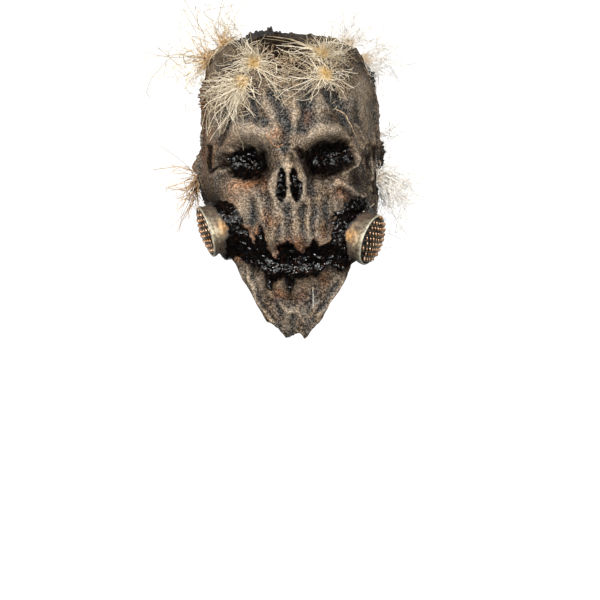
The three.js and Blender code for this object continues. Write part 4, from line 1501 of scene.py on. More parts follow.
# %% The woven mesh
def woven_mesh_tree():
    """A dome of woven wire, in a can's own frame, then turned and moved to the can."""
    inputs = dict.fromkeys(("Radius", "Rise", "Row", "Step", "Wire"), "Float")
    inputs.update(Knuckle="Vector", Slant="Rotation", Seed="Int", Turn="Rotation", Place="Vector")
    inputs.update(Bright="Material", Dark="Material")
    tree, given, names = new_tree("woven_copper_mesh", inputs)
    joined = add(tree, "GeometryNodeJoinGeometry")
    for part, finish in ((knuckles(tree, given), "Bright"), (row_wires(tree, given), "Dark")):
        whole = add(tree, REALIZE, {"Geometry": part})
        done = add(tree, "GeometryNodeSetMaterial", {"Geometry": whole, "Material": given[finish]})
        tree.links.new(done.outputs[0], joined.inputs[0])
    moved = {"Geometry": joined, "Translation": given["Place"], "Rotation": given["Turn"]}
    moved = add(tree, "GeometryNodeTransform", moved)
    add(tree, "NodeGroupOutput", {0: moved})
    return tree, names


# %% [markdown]
# ### Its finish
#
# The copper's tone varies at random, from brown to pink and gold. Two mixes of one material are enough, as
# lit and shaded copies: the knuckles take the bright one, which paints their highlights, and the wires
# behind them the dark one, which paints the shade in the gaps between the rows.

# %% Copper wire
TARNISH_MM = 5


def copper_wire(name, dull, rubbed):
    """Woven copper, mixed at random between a dull colour and a brighter one; its bright mix is painted
    highlight, its dark mix painted shade.
    """
    material, tree, shader = new_material(name, 0.4, Metallic=0.7)
    place = add(tree, "ShaderNodeTexCoord").outputs["Object"]
    tarnish = add(tree, NOISE, {"Vector": place, "Scale": 1000 / TARNISH_MM, "Detail": 1.0})
    ramp = add(tree, MAP_RANGE, {"Value": tarnish, "From Min": 0.35, "From Max": 0.65})
    colour = add(tree, MIX, {"Factor": ramp, "A": dull, "B": rubbed}, **COLOUR)
    feed(tree, shader, {"Base Color": colour})
    return material


MESH_SIZES = {  # the real weave is finer: it is drawn coarser so that its rows show
    "Radius": 23.8 * MM,
    "Rise": 5.5 * MM,
    "Row": 5.2 * MM,
    "Step": 4.8 * MM,
    "Wire": 0.9 * MM,
    "Knuckle": (2.3 * MM, 0.9 * MM, 0.9 * MM),
    "Slant": (0.0, math.radians(-52), 0.0),
    # The bright copy is painted highlight on the knuckles, the dark copy painted shade in the gaps between
    # the rows.
    "Bright": copper_wire("rubbed copper wire", "#a56c40", "#ffd8b2"),
    "Dark": copper_wire("tarnished copper wire", "#35322a", "#6a6452"),
}
MESH_HEIGHT = {"left": -1.2, "right": 1.6}
mesh_tree, mesh_inputs = woven_mesh_tree()
for seed, (can_side, (mouth, aim)) in enumerate(CANS.items()):
    turn = can_turn(aim)
    seat = mouth + turn @ np.array([0, MESH_HEIGHT[can_side], 0])
    sizes = dict(MESH_SIZES, Turn=Matrix(turn).to_euler(), Place=list(seat * MM), Seed=seed)
    grille = grown("filter_grille_" + can_side + "_wire", mesh_tree, mesh_inputs, sizes)
    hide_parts("filter_grille_" + can_side)
    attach(grille, "root")
    print(grille.name, len(grille.data.polygons), "faces")

# %% [markdown]
# ## Straw
#
# Eleven tufts of dry fibre are glued to the skin. A hair system would do, but its strands lie at even
# spacing, and these leave a root in a few stiff sprays. So every strand is a curve of its own: it leaves
# the root in the direction of its spray, kinks twice, waves a little, and is pushed out wherever it would
# go through the skin. Short fuzz lies round each root. One tree makes them all, and each tuft is only a row
# of sizes.

# %% Heading of a strand
STRAND_KINDS = {"aim": "FLOAT_VECTOR", "reach": "FLOAT", "spread": "FLOAT", "curl": "FLOAT"}


def straw_headings(tree, own, chance):
    """The unit direction of each strand, within its spray's spread of the spray's aim."""
    tilt = add(tree, MATH, {0: chance[0]}, operation="SQRT")
    tilt = add(tree, MATH, {0: tilt, 1: own["spread"]}, **TIMES)
    out = add(tree, MATH, {0: tilt}, operation="SINE")
    ahead = add(tree, MATH, {0: tilt}, operation="COSINE")
    spin = add(tree, MATH, {0: chance[1], 1: 2 * math.pi}, **TIMES)
    x = add(tree, MATH, {0: spin}, operation="COSINE")
    x = add(tree, MATH, {0: x, 1: out}, **TIMES)
    z = add(tree, MATH, {0: spin}, operation="SINE")
    z = add(tree, MATH, {0: z, 1: out}, **TIMES)
    heading = add(tree, COMBINE, {"X": x, "Y": ahead, "Z": z})
    lean = add(tree, "FunctionNodeAlignRotationToVector", {"Vector": own["aim"]}, axis="Y")
    return add(tree, "FunctionNodeRotateVector", {"Vector": heading, "Rotation": lean})


# %% Path of a strand
SHORTEST = 0.45
LONGEST = 1.1
KINKS = ((3, 0, 0.2, 0.55), (4, 3, 0.5, 0.85))  # number of the draw, of the way it bends, nearest, furthest
WAVES = (3.0, 11.0)


def straw_path(tree, given, own, along, chance, stray):
    """Where each point of each strand lies, seen from the root, and how far off that is."""
    length = add(tree, MAP_RANGE, {"Value": chance[2], "To Min": SHORTEST, "To Max": 1.0})
    length = add(tree, MATH, {0: length, 1: own["reach"]}, **TIMES)
    gone = add(tree, MATH, {0: length, 1: along}, **TIMES)
    late = add(tree, MATH, {0: gone, 1: along}, **TIMES)
    heading = straw_headings(tree, own, chance)
    path = add(tree, VECTOR_MATH, {0: heading, "Scale": gone}, **SCALE)

    for draw, way, nearest, furthest in KINKS:
        kink = add(tree, MAP_RANGE, {"Value": chance[draw], "To Min": nearest, "To Max": furthest})
        after = add(tree, MATH, {0: along, 1: kink}, **MINUS)
        after = add(tree, MATH, {0: after, 1: 0.0}, **GREATER)
        after = add(tree, MATH, {0: after, 1: length}, **TIMES)
        after = add(tree, MATH, {0: after, 1: given["Kink"]}, **TIMES)
        bend = add(tree, VECTOR_MATH, {0: stray[way], "Scale": after}, **SCALE)
        path = add(tree, VECTOR_MATH, {0: path, 1: bend}, operation="ADD")
    turns = add(tree, MAP_RANGE, {"Value": chance[7], "To Min": WAVES[0], "To Max": WAVES[1]})
    start = add(tree, MATH, {0: chance[5], 1: 2 * math.pi}, **TIMES)
    wave = add(tree, MATH, {0: along, 1: turns, 2: start}, **TIMES_PLUS)
    wave = add(tree, MATH, {0: wave}, operation="SINE")
    wave = add(tree, MATH, {0: wave, 1: late}, **TIMES)
    wave = add(tree, MATH, {0: wave, 1: own["curl"]}, **TIMES)
    wave = add(tree, VECTOR_MATH, {0: stray[1], "Scale": wave}, **SCALE)
    path = add(tree, VECTOR_MATH, {0: path, 1: wave}, operation="ADD")
    press = add(tree, MATH, {0: late, 1: given["Press"]}, **TIMES)
    press = add(tree, VECTOR_MATH, {0: given["Normal"], "Scale": press}, **SCALE)
    path = add(tree, VECTOR_MATH, {0: path, 1: press}, **MINUS)
    foot = add(tree, VECTOR_MATH, {0: stray[2], "Scale": given["Foot"]}, **SCALE)
    proud = add(tree, VECTOR_MATH, {0: foot, 1: given["Normal"]}, operation="PROJECT")
    foot = add(tree, VECTOR_MATH, {0: foot, 1: proud}, **MINUS)
    path = add(tree, VECTOR_MATH, {0: path, 1: foot}, operation="ADD")

    far = add(tree, VECTOR_MATH, {0: path}, operation="LENGTH").outputs["Value"]
    most = add(tree, MATH, {0: own["reach"], 1: LONGEST, 2: given["Foot"]}, **TIMES_PLUS)
    most = add(tree, MATH, {0: most, 1: far}, **DIVIDE)
    most = add(tree, MATH, {0: most, 1: 1.0}, operation="MINIMUM")
    return add(tree, VECTOR_MATH, {0: path, "Scale": most}, **SCALE), far


# %% Strands kept off the skin
ROOT_SHARE = 0.12
ROOT_HEIGHT = -0.4 * MM
HEIGHT = 1.2 * MM


def off_the_skin(tree, given, strands, along, lift):
    """Pushes points out of the form they lie on, each to its own height over it."""
    form = add(tree, "GeometryNodeObjectInfo", {"Object": given["Form"]}).outputs["Geometry"]
    here = add(tree, "GeometryNodeInputPosition")
    vector = {"data_type": "FLOAT_VECTOR"}
    touch = {"Mesh": form, "Value": here, "Sample Position": here}
    touch = add(tree, "GeometryNodeSampleNearestSurface", touch, **vector)
    outward = {"Mesh": form, "Value": add(tree, "GeometryNodeInputNormal"), "Sample Position": here}
    outward = add(tree, "GeometryNodeSampleNearestSurface", outward, **vector)
    above = add(tree, VECTOR_MATH, {0: here, 1: touch}, **MINUS)
    above = add(tree, VECTOR_MATH, {0: above, 1: outward}, operation="DOT_PRODUCT")
    rest = {"Value": along, "From Max": ROOT_SHARE, "To Min": ROOT_HEIGHT, "To Max": HEIGHT}
    rest = add(tree, MAP_RANGE, rest)
    loft = add(tree, MATH, {0: lift, 1: given["Loft"]}, **TIMES)
    rest = add(tree, MATH, {0: loft, 1: along, 2: rest}, **TIMES_PLUS)
    short = add(tree, MATH, {0: rest, 1: above.outputs["Value"]}, **MINUS)
    short = add(tree, MATH, {0: short, 1: 0.0}, **GREATER)
    push = add(tree, VECTOR_MATH, {0: outward, "Scale": short}, **SCALE)
    return add(tree, SET_POSITION, {"Geometry": strands, "Offset": push})


# %% Tree for a tuft of straw
STRAW_POINTS = 15
STRAW_SIDES = 3
DRAWS = 8
STRAYS = 4
STRAY_SEED = 20
SEED_STEP = 1000.0
TIP_GIRTH = 0.6
GIRTHS = (0.5, 1.4)


def straw_tree():
    """A tuft: a strand from Root for every point that is given, kept off the form that it lies on."""
    inputs = {"Starts": "Geometry", "Seed": "Int", "Root": "Vector", "Normal": "Vector"}
    inputs.update(dict.fromkeys(("Foot", "Press", "Kink", "Loft", "Thickness"), "Float"))
    tree, given, names = new_tree("straw_tuft", dict(inputs, Form="Object", Material="Material"))
    line = add(tree, "GeometryNodeCurvePrimitiveLine", {"End": (0.0, 0.0, 1.0)})
    line = add(tree, "GeometryNodeResampleCurve", {"Curve": line, "Count": STRAW_POINTS})
    strands = add(tree, "GeometryNodeInstanceOnPoints", {"Points": given["Starts"], "Instance": line})
    strands = add(tree, REALIZE, {"Geometry": strands})
    along = add(tree, "GeometryNodeSplineParameter").outputs["Factor"]
    number = add(tree, "GeometryNodeCurveOfPoint").outputs["Curve Index"]
    strand = add(tree, MATH, {0: given["Seed"], 1: SEED_STEP, 2: number}, **TIMES_PLUS)
    scalar = {"data_type": "FLOAT"}
    vector = {"data_type": "FLOAT_VECTOR"}
    chance = [add(tree, RANDOM, {"ID": strand, "Seed": i}, **scalar) for i in range(DRAWS)]
    cube = {"Min": (-1.0, -1.0, -1.0), "Max": (1.0, 1.0, 1.0), "ID": strand}
    cubes = [dict(cube, Seed=STRAY_SEED + i) for i in range(STRAYS)]
    stray = [add(tree, RANDOM, ends, **vector) for ends in cubes]
    own = {
        name: add(tree, "GeometryNodeInputNamedAttribute", {"Name": name}, data_type=kind)
        for name, kind in STRAND_KINDS.items()
    }

    path, far = straw_path(tree, given, own, along, chance, stray)
    path = add(tree, VECTOR_MATH, {0: path, 1: given["Root"]}, operation="ADD")
    for name, value in (("far", far), ("tone", chance[6])):
        stored = {"Geometry": strands, "Name": name, "Value": value}
        strands = add(tree, "GeometryNodeStoreNamedAttribute", stored, data_type="FLOAT", domain="POINT")
    strands = add(tree, SET_POSITION, {"Geometry": strands, "Position": path})
    strands = off_the_skin(tree, given, strands, along, chance[5])

    taper = add(tree, MAP_RANGE, {"Value": along, "To Min": 1.0, "To Max": TIP_GIRTH})
    stout = add(tree, MAP_RANGE, {"Value": chance[5], "To Min": GIRTHS[0], "To Max": GIRTHS[1]})
    girth = add(tree, MATH, {0: taper, 1: stout}, **TIMES)
    girth = add(tree, MATH, {0: girth, 1: given["Thickness"]}, **TIMES)
    ring = add(tree, "GeometryNodeCurvePrimitiveCircle", {"Resolution": STRAW_SIDES, "Radius": 1.0})
    fibres = {"Curve": strands, "Profile Curve": ring, "Scale": girth, "Fill Caps": True}
    fibres = add(tree, "GeometryNodeCurveToMesh", fibres)
    whole = add(tree, REALIZE, {"Geometry": fibres})
    done = add(tree, "GeometryNodeSetMaterial", {"Geometry": whole, "Material": given["Material"]})
    add(tree, "NodeGroupOutput", {0: done})
    return tree, names


# %% [markdown]
# ### Its finish
#
# Dry palm fibre is golden where glue darkened it at the root and bleached towards its ends, and no two
# strands have the same tone. Both are numbers that the tree stored on every strand, so four mixes of one
# material cover all the tufts, and no texture has to be laid along a strand.

# %% Dry straw
GLUE_MM = 3
GLUED_MM = 11


def dry_straw(name, root, end, glued=GLUED_MM):
    """Dry palm fibre: golden where the glue darkened it at the root, bleached towards the ends."""
    material, tree, shader = new_material(name, 0.7)
    far = add(tree, "ShaderNodeAttribute", attribute_name="far").outputs["Fac"]
    tone = add(tree, "ShaderNodeAttribute", attribute_name="tone").outputs["Fac"]
    bleached = add(tree, MIX, {"Factor": tone, "A": end[0], "B": end[1]}, **COLOUR)
    golden = add(tree, MIX, {"Factor": tone, "A": root[0], "B": root[1]}, **COLOUR)
    share = add(tree, MAP_RANGE, {"Value": far, "From Min": GLUE_MM * MM, "From Max": glued * MM})
    colour = add(tree, MIX, {"Factor": share, "A": golden, "B": bleached}, **COLOUR)
    feed(tree, shader, {"Base Color": colour})
    return material


STRAWS = {
    "golden": dry_straw("golden dry straw", ("#b48c44", "#efcb80"), ("#a08e6e", "#f0e4cc")),
    "bleached": dry_straw("bleached dry straw", ("#bd9a66", "#e6cda2"), ("#dfd4c0", "#ffffff")),
    "brown": dry_straw("brown dry straw", ("#7a4e26", "#b07a44"), ("#9a7650", "#e2c49e")),
    "rusty": dry_straw("rust-stained dry straw", ("#9a6a2c", "#dfad5c"), ("#b29c76", "#efe2c8"), 17),
}

# %% The tufts
# straw, angle and z of the root, foot, press, thickness, then sprays: aim, strands, reach, spread, curl
TUFTS = {
    "straw_corner_left_top": ("rusty", -88, -11, 6, 0, 0.34, [
        ((0.15, -0.1, 1), 22, 52, 34, 0.8),
        ((-0.6, -0.1, 0.8), 16, 50, 34, 0.8),
        ((0.2, -0.8, 0.5), 40, 17, 70, 0.6),
        ((0.6, -0.8, -0.1), 44, 17, 44, 0.5),
    ]),
    "straw_corner_left": ("rusty", -90, -26, 6, 0, 0.36, [
        ((-0.35, -0.1, 0.95), 14, 58, 26, 0.8),
        ((-1, -0.1, 0.45), 24, 58, 36, 0.8),
        ((-0.6, -0.1, -0.8), 26, 50, 26, 0.7),
        ((-0.4, -0.9, 0.1), 50, 17, 80, 0.6),
        ((0.45, -0.9, 0.2), 56, 17, 44, 0.5),
    ]),
    "straw_brow_left_upper": ("golden", -24, -33, 5, 0.3, 0.28, [
        ((-0.2, -0.2, 1), 34, 30, 34, 0.3),
        ((-1, -0.2, -0.15), 20, 44, 26, 0.3),
        ((-0.75, -0.2, 0.55), 44, 38, 30, 0.3),
        ((0.8, -0.4, -0.55), 30, 46, 20, 0.15),
        ((0, -1, 0.2), 50, 14, 88, 0.5),
    ]),
    "straw_brow_left_lower": ("golden", -32, -52, 6, 0.3, 0.28, [
        ((-0.85, -0.3, -0.45), 90, 58, 30, 0.3),
        ((-0.35, -0.4, -0.9), 30, 48, 14, 0.2),
        ((0.5, -0.4, -0.9), 10, 30, 22, 0.3),
        ((-0.5, -0.9, 0), 110, 16, 88, 0.5),
    ]),
    "straw_brow_right_upper": ("golden", 29, -23, 5.5, 0.3, 0.28, [
        ((-0.9, -0.1, 0.35), 11, 48, 13, 0.1),
        ((-1, -0.3, -0.1), 9, 40, 16, 0.2),
        ((0.9, -0.2, 0.4), 70, 36, 42, 0.5),
        ((0.1, -0.2, 1), 22, 26, 34, 0.5),
        ((0, -1, 0.3), 76, 15, 88, 0.5),
    ]),
    "straw_brow_right_lower": ("golden", 28, -44, 5, 0.3, 0.28, [
        ((-0.85, -0.3, -0.5), 16, 50, 10, 0.05),
        ((-0.1, -0.4, -0.9), 11, 34, 22, 0.5),
        ((0.65, -0.4, -0.7), 14, 34, 14, 0.1),
        ((-0.9, -0.2, 0.15), 16, 38, 22, 0.2),
        ((0.9, -0.2, 0.1), 18, 28, 32, 0.4),
        ((0, -1, 0), 56, 13, 88, 0.5),
    ]),
    "straw_corner_right_top": ("bleached", 88, -11, 6, 0, 0.3, [
        ((0.15, -0.1, 1), 50, 52, 28, 0.6),
        ((0.85, -0.1, 0.45), 32, 46, 24, 0.6),
        ((0.3, 0, 1), 34, 18, 70, 0.4),
    ]),
    "straw_corner_right": ("bleached", 90, -26, 6, 0, 0.3, [
        ((1, -0.1, -0.15), 38, 58, 22, 0.5),
        ((0.65, -0.1, -0.75), 22, 50, 18, 0.5),
        ((0.8, -0.1, 0.5), 26, 48, 22, 0.6),
        ((1, 0, 0), 40, 18, 70, 0.4),
    ]),
    "straw_seam_right": ("bleached", 94, -98, 5, 0, 0.3, [
        ((0.95, 0.2, 0.1), 14, 42, 30, 0.7),
        ((0.8, 0.2, -0.5), 10, 36, 24, 0.7),
    ]),
    "straw_ear_left": ("brown", -93, -138, 4, 0, 0.46, [
        ((-0.35, 0, -0.95), 44, 54, 15, 0.2),
        ((-0.75, 0, -0.5), 20, 40, 26, 0.4),
        ((-0.95, 0, 0.35), 8, 46, 10, 0.4),
    ]),
    "straw_ear_right": ("bleached", 86, -141, 8, 0, 0.34, [
        ((0.9, 0.1, -0.35), 120, 54, 28, 0.5),
        ((0.55, 0.1, -0.8), 80, 58, 18, 0.5),
        ((0.9, 0.1, 0.1), 60, 38, 34, 0.6),
        ((0.3, -0.9, 0.3), 30, 14, 60, 0.4),
    ]),
}
STRAW_SIZES = {"Loft": 4 * MM, "Kink": 0.6}


def tuft_place(angle, z):
    """Where a tuft is glued on, and the skin's normal there."""
    angle = np.array([float(angle)])
    ring = ring_at_height([z])
    plain = sack_points(angle, ring)
    normal = sack_normals(angle, ring)
    return (plain + normal * skin_lift(angle, ring, plain)[..., None])[0], normal[0]


def strand_starts(name, sprays):
    """A loose point for every strand of a tuft, which carries its spray's aim, reach, spread and curl."""
    aims, counts, reaches, spreads, curls = zip(*sprays)
    starts = bpy.data.meshes.new(name)
    starts.from_pydata([(0, 0, 0)] * sum(counts), [], [])
    carried = {"aim": aims, "reach": np.array(reaches) * MM, "spread": np.radians(spreads), "curl": curls}
    for title, values in carried.items():
        layer = starts.attributes.new(title, STRAND_KINDS[title], "POINT")
        each = np.repeat(np.array(values, np.float32), counts, axis=0)
        layer.data.foreach_set("vector" if title == "aim" else "value", each.ravel())
    return starts


straw_maker, straw_inputs = straw_tree()
form = sack_form("form", 0)
for seed, (tuft_name, (straw, angle, z, foot, press, thickness, sprays)) in enumerate(TUFTS.items()):
    root, normal = tuft_place(angle, z)
    sizes = dict(STRAW_SIZES, Root=list(root * MM), Normal=list(normal), Seed=seed, Form=form)
    sizes.update(Foot=foot * MM, Press=press, Thickness=thickness * MM, Material=STRAWS[straw])
    starts = strand_starts(tuft_name + "_fibre", sprays)
    tuft = grown(tuft_name + "_fibre", straw_maker, straw_inputs, sizes, starts)
    for title in STRAND_KINDS:
        tuft.data.attributes.remove(tuft.data.attributes[title])
    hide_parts(tuft_name)
    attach(tuft, "root")
    print(tuft.name, len(tuft.data.polygons), "faces")
bpy.data.objects.remove(form)

# %% [markdown]
# ## Seams and threads
#
# The sack's left seam is whipped with rough twine, burlap threads lie on the face, and fibre lies loose on
# the forehead. Bevelled curve objects would do, but there are hundreds. So each is a line of points laid on
# the skin, and one tree turns every such line into a round thread.

# %% Tree for threads
THREAD_SIDES = 5


def thread_tree():
    """Round threads along the edges of the mesh that the tree is given."""
    inputs = {"Path": "Geometry", "Thickness": "Float", "Material": "Material"}
    tree, given, names = new_tree("thread", inputs)
    line = add(tree, "GeometryNodeMeshToCurve", {"Mesh": given["Path"]})
    ring = {"Resolution": THREAD_SIDES, "Radius": given["Thickness"]}
    ring = add(tree, "GeometryNodeCurvePrimitiveCircle", ring)
    tube = add(tree, "GeometryNodeCurveToMesh", {"Curve": line, "Profile Curve": ring, "Fill Caps": True})
    whole = add(tree, REALIZE, {"Geometry": tube})
    done = add(tree, "GeometryNodeSetMaterial", {"Geometry": whole, "Material": given["Material"]})
    add(tree, "NodeGroupOutput", {0: done})
    return tree, names


thread_maker, thread_inputs = thread_tree()


def threads(name, lines, thickness, material):
    """One piece of round threads along lines of points in millimetres."""
    starts = np.cumsum([0] + [len(line) for line in lines])
    edges = [(first + i, first + i + 1) for first, line in zip(starts, lines) for i in range(len(line) - 1)]
    path = bpy.data.meshes.new(name)
    path.from_pydata((np.concatenate(lines) * MM).tolist(), edges, [])
    sizes = {"Thickness": thickness * MM, "Material": material}
    made = grown(name, thread_maker, thread_inputs, sizes, path)
    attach(made, "root")
    print(name, len(made.data.polygons), "faces")


# %% Places on the skin
LINE_STEP = 1.2
FEWEST_POINTS = 4


def skin_frame(angle, z):
    """Points on the finished skin and the normals there, by angle and height."""
    angle = np.asarray(angle, float)
    ring = ring_at_height(z)
    plain = sack_points(angle, ring)
    normal = sack_normals(angle, ring)
    base = plain + normal * skin_lift(angle, ring, plain)[..., None]
    return base + normal * sculpt(angle, base)[0][..., None], normal


def on_skin(angle, z, over):
    """Points so many millimetres over the finished skin."""
    points, normal = skin_frame(angle, z)
    return points + normal * np.asarray(over)[..., None]


def resampled(corners, step):
    """Points along a line of corners, about step apart."""
    corners = np.asarray(corners, float)
    gone = np.concatenate([[0], np.cumsum(np.linalg.norm(np.diff(corners[:, :2], axis=0), axis=1))])
    places = np.linspace(0, gone[-1], max(FEWEST_POINTS, int(gone[-1] / step)))
    return np.stack([np.interp(places, gone, column) for column in corners.T], axis=-1)


def on_front(x, z, over):
    """Points over the face from where they are seen from the front."""
    wide = ring_value(RING_WIDE, ring_at_height(z), -1)
    angle = np.degrees(np.arcsin(np.clip((x + LEAN * (z - LEAN_LEVEL)) / wide, -1, 1)))
    return on_skin(angle, z, over)


def on_face(line, over):
    """A line on the face through corners given as seen from the front, x and z."""
    x, z = resampled(line, LINE_STEP).T
    return on_front(x, z, np.full(x.shape, over))


print("the nose's end is at", skin_frame([0.0], [RELIEF["nose_end"][1]])[0].round(1))

# %% [markdown]
# ### Their finish
#
# Jute yarn is matt and twisted. Its colour is painted dark in its folds, as their shade, and light on its
# fibres, as their highlight. The threads are about a pixel thick, so one noise that mixes two colours is
# all that can be seen of the twist.

# %% Burlap yarn
FIBRE_MM = 2.5
FIBRE_HEIGHT_MM = 0.6


def burlap_yarn(name, dark, light):
    """Jute yarn: twisted matt fibre, with painted shade dark in its folds."""
    material, tree, shader = new_material(name, 0.85)
    place = add(tree, "ShaderNodeTexCoord").outputs["Object"]
    fibre = add(tree, NOISE, {"Vector": place, "Scale": 1000 / FIBRE_MM, "Detail": 3.0})
    share = add(tree, MAP_RANGE, {"Value": fibre, "From Min": 0.35, "From Max": 0.65})
    # Painted shade in the folds of the twist, painted light on its fibres.
    colour = add(tree, MIX, {"Factor": share, "A": dark, "B": light}, **COLOUR)
    feed(tree, shader, {"Base Color": colour})
    bumps = {"Height": fibre, "Strength": 0.6, "Distance": FIBRE_HEIGHT_MM * MM}
    bumps = add(tree, "ShaderNodeBump", bumps)
    feed(tree, shader, {"Normal": bumps})
    return material


YARNS = {
    "rusty": burlap_yarn("rusty jute", "#2a1810", "#94603a"),
    "sooty": burlap_yarn("sooty jute", "#080706", "#25201b"),
    "tan": burlap_yarn("tan jute", "#5a4836", "#bfa582"),
    "pale": burlap_yarn("pale straw", "#9a8a6c", "#e4d5b4"),
    "white": burlap_yarn("white cotton thread", "#8f8a80", "#e6e0d4"),
    "grey": burlap_yarn("dusty grey jute", "#55504a", "#b0a79b"),
    "brown": burlap_yarn("brown jute", "#33241a", "#80604a"),
    "orange": burlap_yarn("orange jute", "#5a3a22", "#b07a4e"),
}

# %% The whipped seam
WHIP_SPACING = 3.1
WHIP_HALF_ANGLE = 5.5
WHIP_SLOPE = 2.6
WHIP_POINTS = 11
WHIP_HEIGHT = 1.3
WHIP_NOISE_STEP = 1.7
WHIP_NOISE_LEVELS = (0.5, 7.5, 3.5)
WHIP_WIDER = 0.6
WHIP_HIGHER = 0.8
WHIP_SHIFT = 2
WHIP_LOOSE = 0.5
WHIP_SUNK = 0.3


def whipping(side, top, bottom, seed):
    """Loops of twine over one seam's ridge. side is -1 on the left."""
    share = np.linspace(-1, 1, WHIP_POINTS)
    loops = []
    for i, z in enumerate(np.arange(top, bottom, -WHIP_SPACING)):
        spots = np.array([[i * WHIP_NOISE_STEP, seed, level] for level in WHIP_NOISE_LEVELS])
        wider, higher, shifted = noise(spots, 1, seed)
        reach = WHIP_HALF_ANGLE * share * (1 + WHIP_WIDER * wider)
        angle = side * (SEAM_ANGLE + WHIP_SHIFT * shifted + reach)
        height = z + WHIP_SLOPE * ((1 + shifted) * share + WHIP_HIGHER * higher)
        over = WHIP_HEIGHT * (1 - share**2) * (1 + higher) + WHIP_LOOSE * wider - WHIP_SUNK
        loops.append(on_skin(angle, height, over))
    return loops


threads("seam_whipping_left", whipping(-1, -46, -72, 71), 0.7, YARNS["rusty"])

# %% Threads on the face
CURL_POINTS = 12
CURL_DRIFT = 0.25
CURL_HEIGHT = 1.3


def curl(middle, radius, turns):
    """Corners of a curl round a middle, drifting sideways as it goes."""
    turn = np.linspace(0, 2 * np.pi * turns, int(CURL_POINTS * turns))
    x = middle[0] + radius * np.cos(turn) + CURL_DRIFT * radius * turn / np.pi
    return np.stack([x, middle[1] + CURL_HEIGHT * radius * np.sin(turn)], axis=-1)


THREADS = {  # yarn, thickness, height over the skin, corners as seen from the front
    "forehead_cord": ("tan", 0.65, 0.2, [(48, -77), (53, -78.5), (57, -82), (59, -88), (67, -103)]),
    "chin_thread": ("white", 0.35, 0.5, [(22, -251), (23, -258), (22.6, -271)]),
    "chin_knot": ("tan", 0.35, 0.5, curl((22.2, -252), 0.9, 2)),
    "brow_curl": ("orange", 0.4, 0.7, [
        (-21, -103), (-19.4, -106.4), (-18, -110.5), (-15.4, -114), (-12, -116), (-6, -113),
    ]),
    "brow_wisp_1": ("orange", 0.45, 0.9, [(-11, -100), (-13, -102), (-12, -105)]),
    "brow_wisp_2": ("orange", 0.4, 0.9, [(-17, -102), (-15, -104), (-16, -108)]),
    "brow_wisp_3": ("tan", 0.4, 0.9, [(-9, -104), (-11, -107), (-10, -110)]),
}
for thread_name, (yarn, thickness, over, line) in THREADS.items():
    threads(thread_name, [on_face(line, over)], thickness, YARNS[yarn])
thread_ends = on_front(np.array([80.5, 66]), np.array([-168, -177]), np.array([3, 7]))
threads("can_thread", [np.linspace(*thread_ends, 4)], 0.45, YARNS["pale"])

# %% Loose fibre on the forehead
FIBRE_POINTS = 9
FIBRE_BEND = 1.2
FIBRE_LENGTHS = (6, 17)
FIBRE_ARCHES = (0.5, 2.5)
FIBRE_FOOT = 0.2


def loose_fibres(count, seed, across, heights):
    """Short bent fibres strewn between two shares of the half width and about a height, as lines."""
    draw = np.random.default_rng(seed)
    z = draw.triangular(*heights, count)
    wide = ring_value(RING_WIDE, ring_at_height(z), -1)
    x = draw.uniform(*across, count) * wide - LEAN * (z - LEAN_LEVEL)
    share = np.linspace(-0.5, 0.5, FIBRE_POINTS)
    heading = draw.uniform(0, math.pi, count)[:, None] + draw.normal(0, FIBRE_BEND, count)[:, None] * share
    step = draw.uniform(*FIBRE_LENGTHS, count)[:, None] / len(share)
    over = FIBRE_FOOT + draw.uniform(*FIBRE_ARCHES, count)[:, None] * (1 - 4 * share**2)
    fibre_x = x[:, None] + np.cumsum(np.cos(heading) * step, axis=1)
    fibre_z = np.minimum(z[:, None] + np.cumsum(np.sin(heading) * step, axis=1), 0)
    return list(on_front(fibre_x, fibre_z, over))


FOREHEAD = ((-0.82, 0.74), (-84, -36, -12))
LEFT_BROW = ((-0.95, -0.56), (-92, -62, -38))
CROWN_EDGE = ((0.3, 0.8), (-44, -26, -10))
BETWEEN_TUFTS = ((-0.38, 0.5), (-62, -40, -16))
threads("loose_fibre_tan", loose_fibres(150, 5, *FOREHEAD), 0.22, YARNS["tan"])
threads("loose_fibre_pale", loose_fibres(50, 6, *FOREHEAD), 0.22, YARNS["pale"])
threads("loose_fibre_left", loose_fibres(110, 7, *LEFT_BROW), 0.24, YARNS["pale"])
threads("loose_fibre_crown", loose_fibres(40, 8, *CROWN_EDGE), 0.24, YARNS["pale"])
threads("loose_fibre_middle", loose_fibres(90, 9, *BETWEEN_TUFTS), 0.24, YARNS["tan"])

# %% [markdown]
# ## Torn rags
#
# Ends of torn burlap stand up from the crown and out of both seams. A cloth simulation would let them hang,
# but they are stiff with latex. So each is a ragged strip on the skin: its foot follows a line of places,
# its height comes from the same rows, and noise tears its free edge.

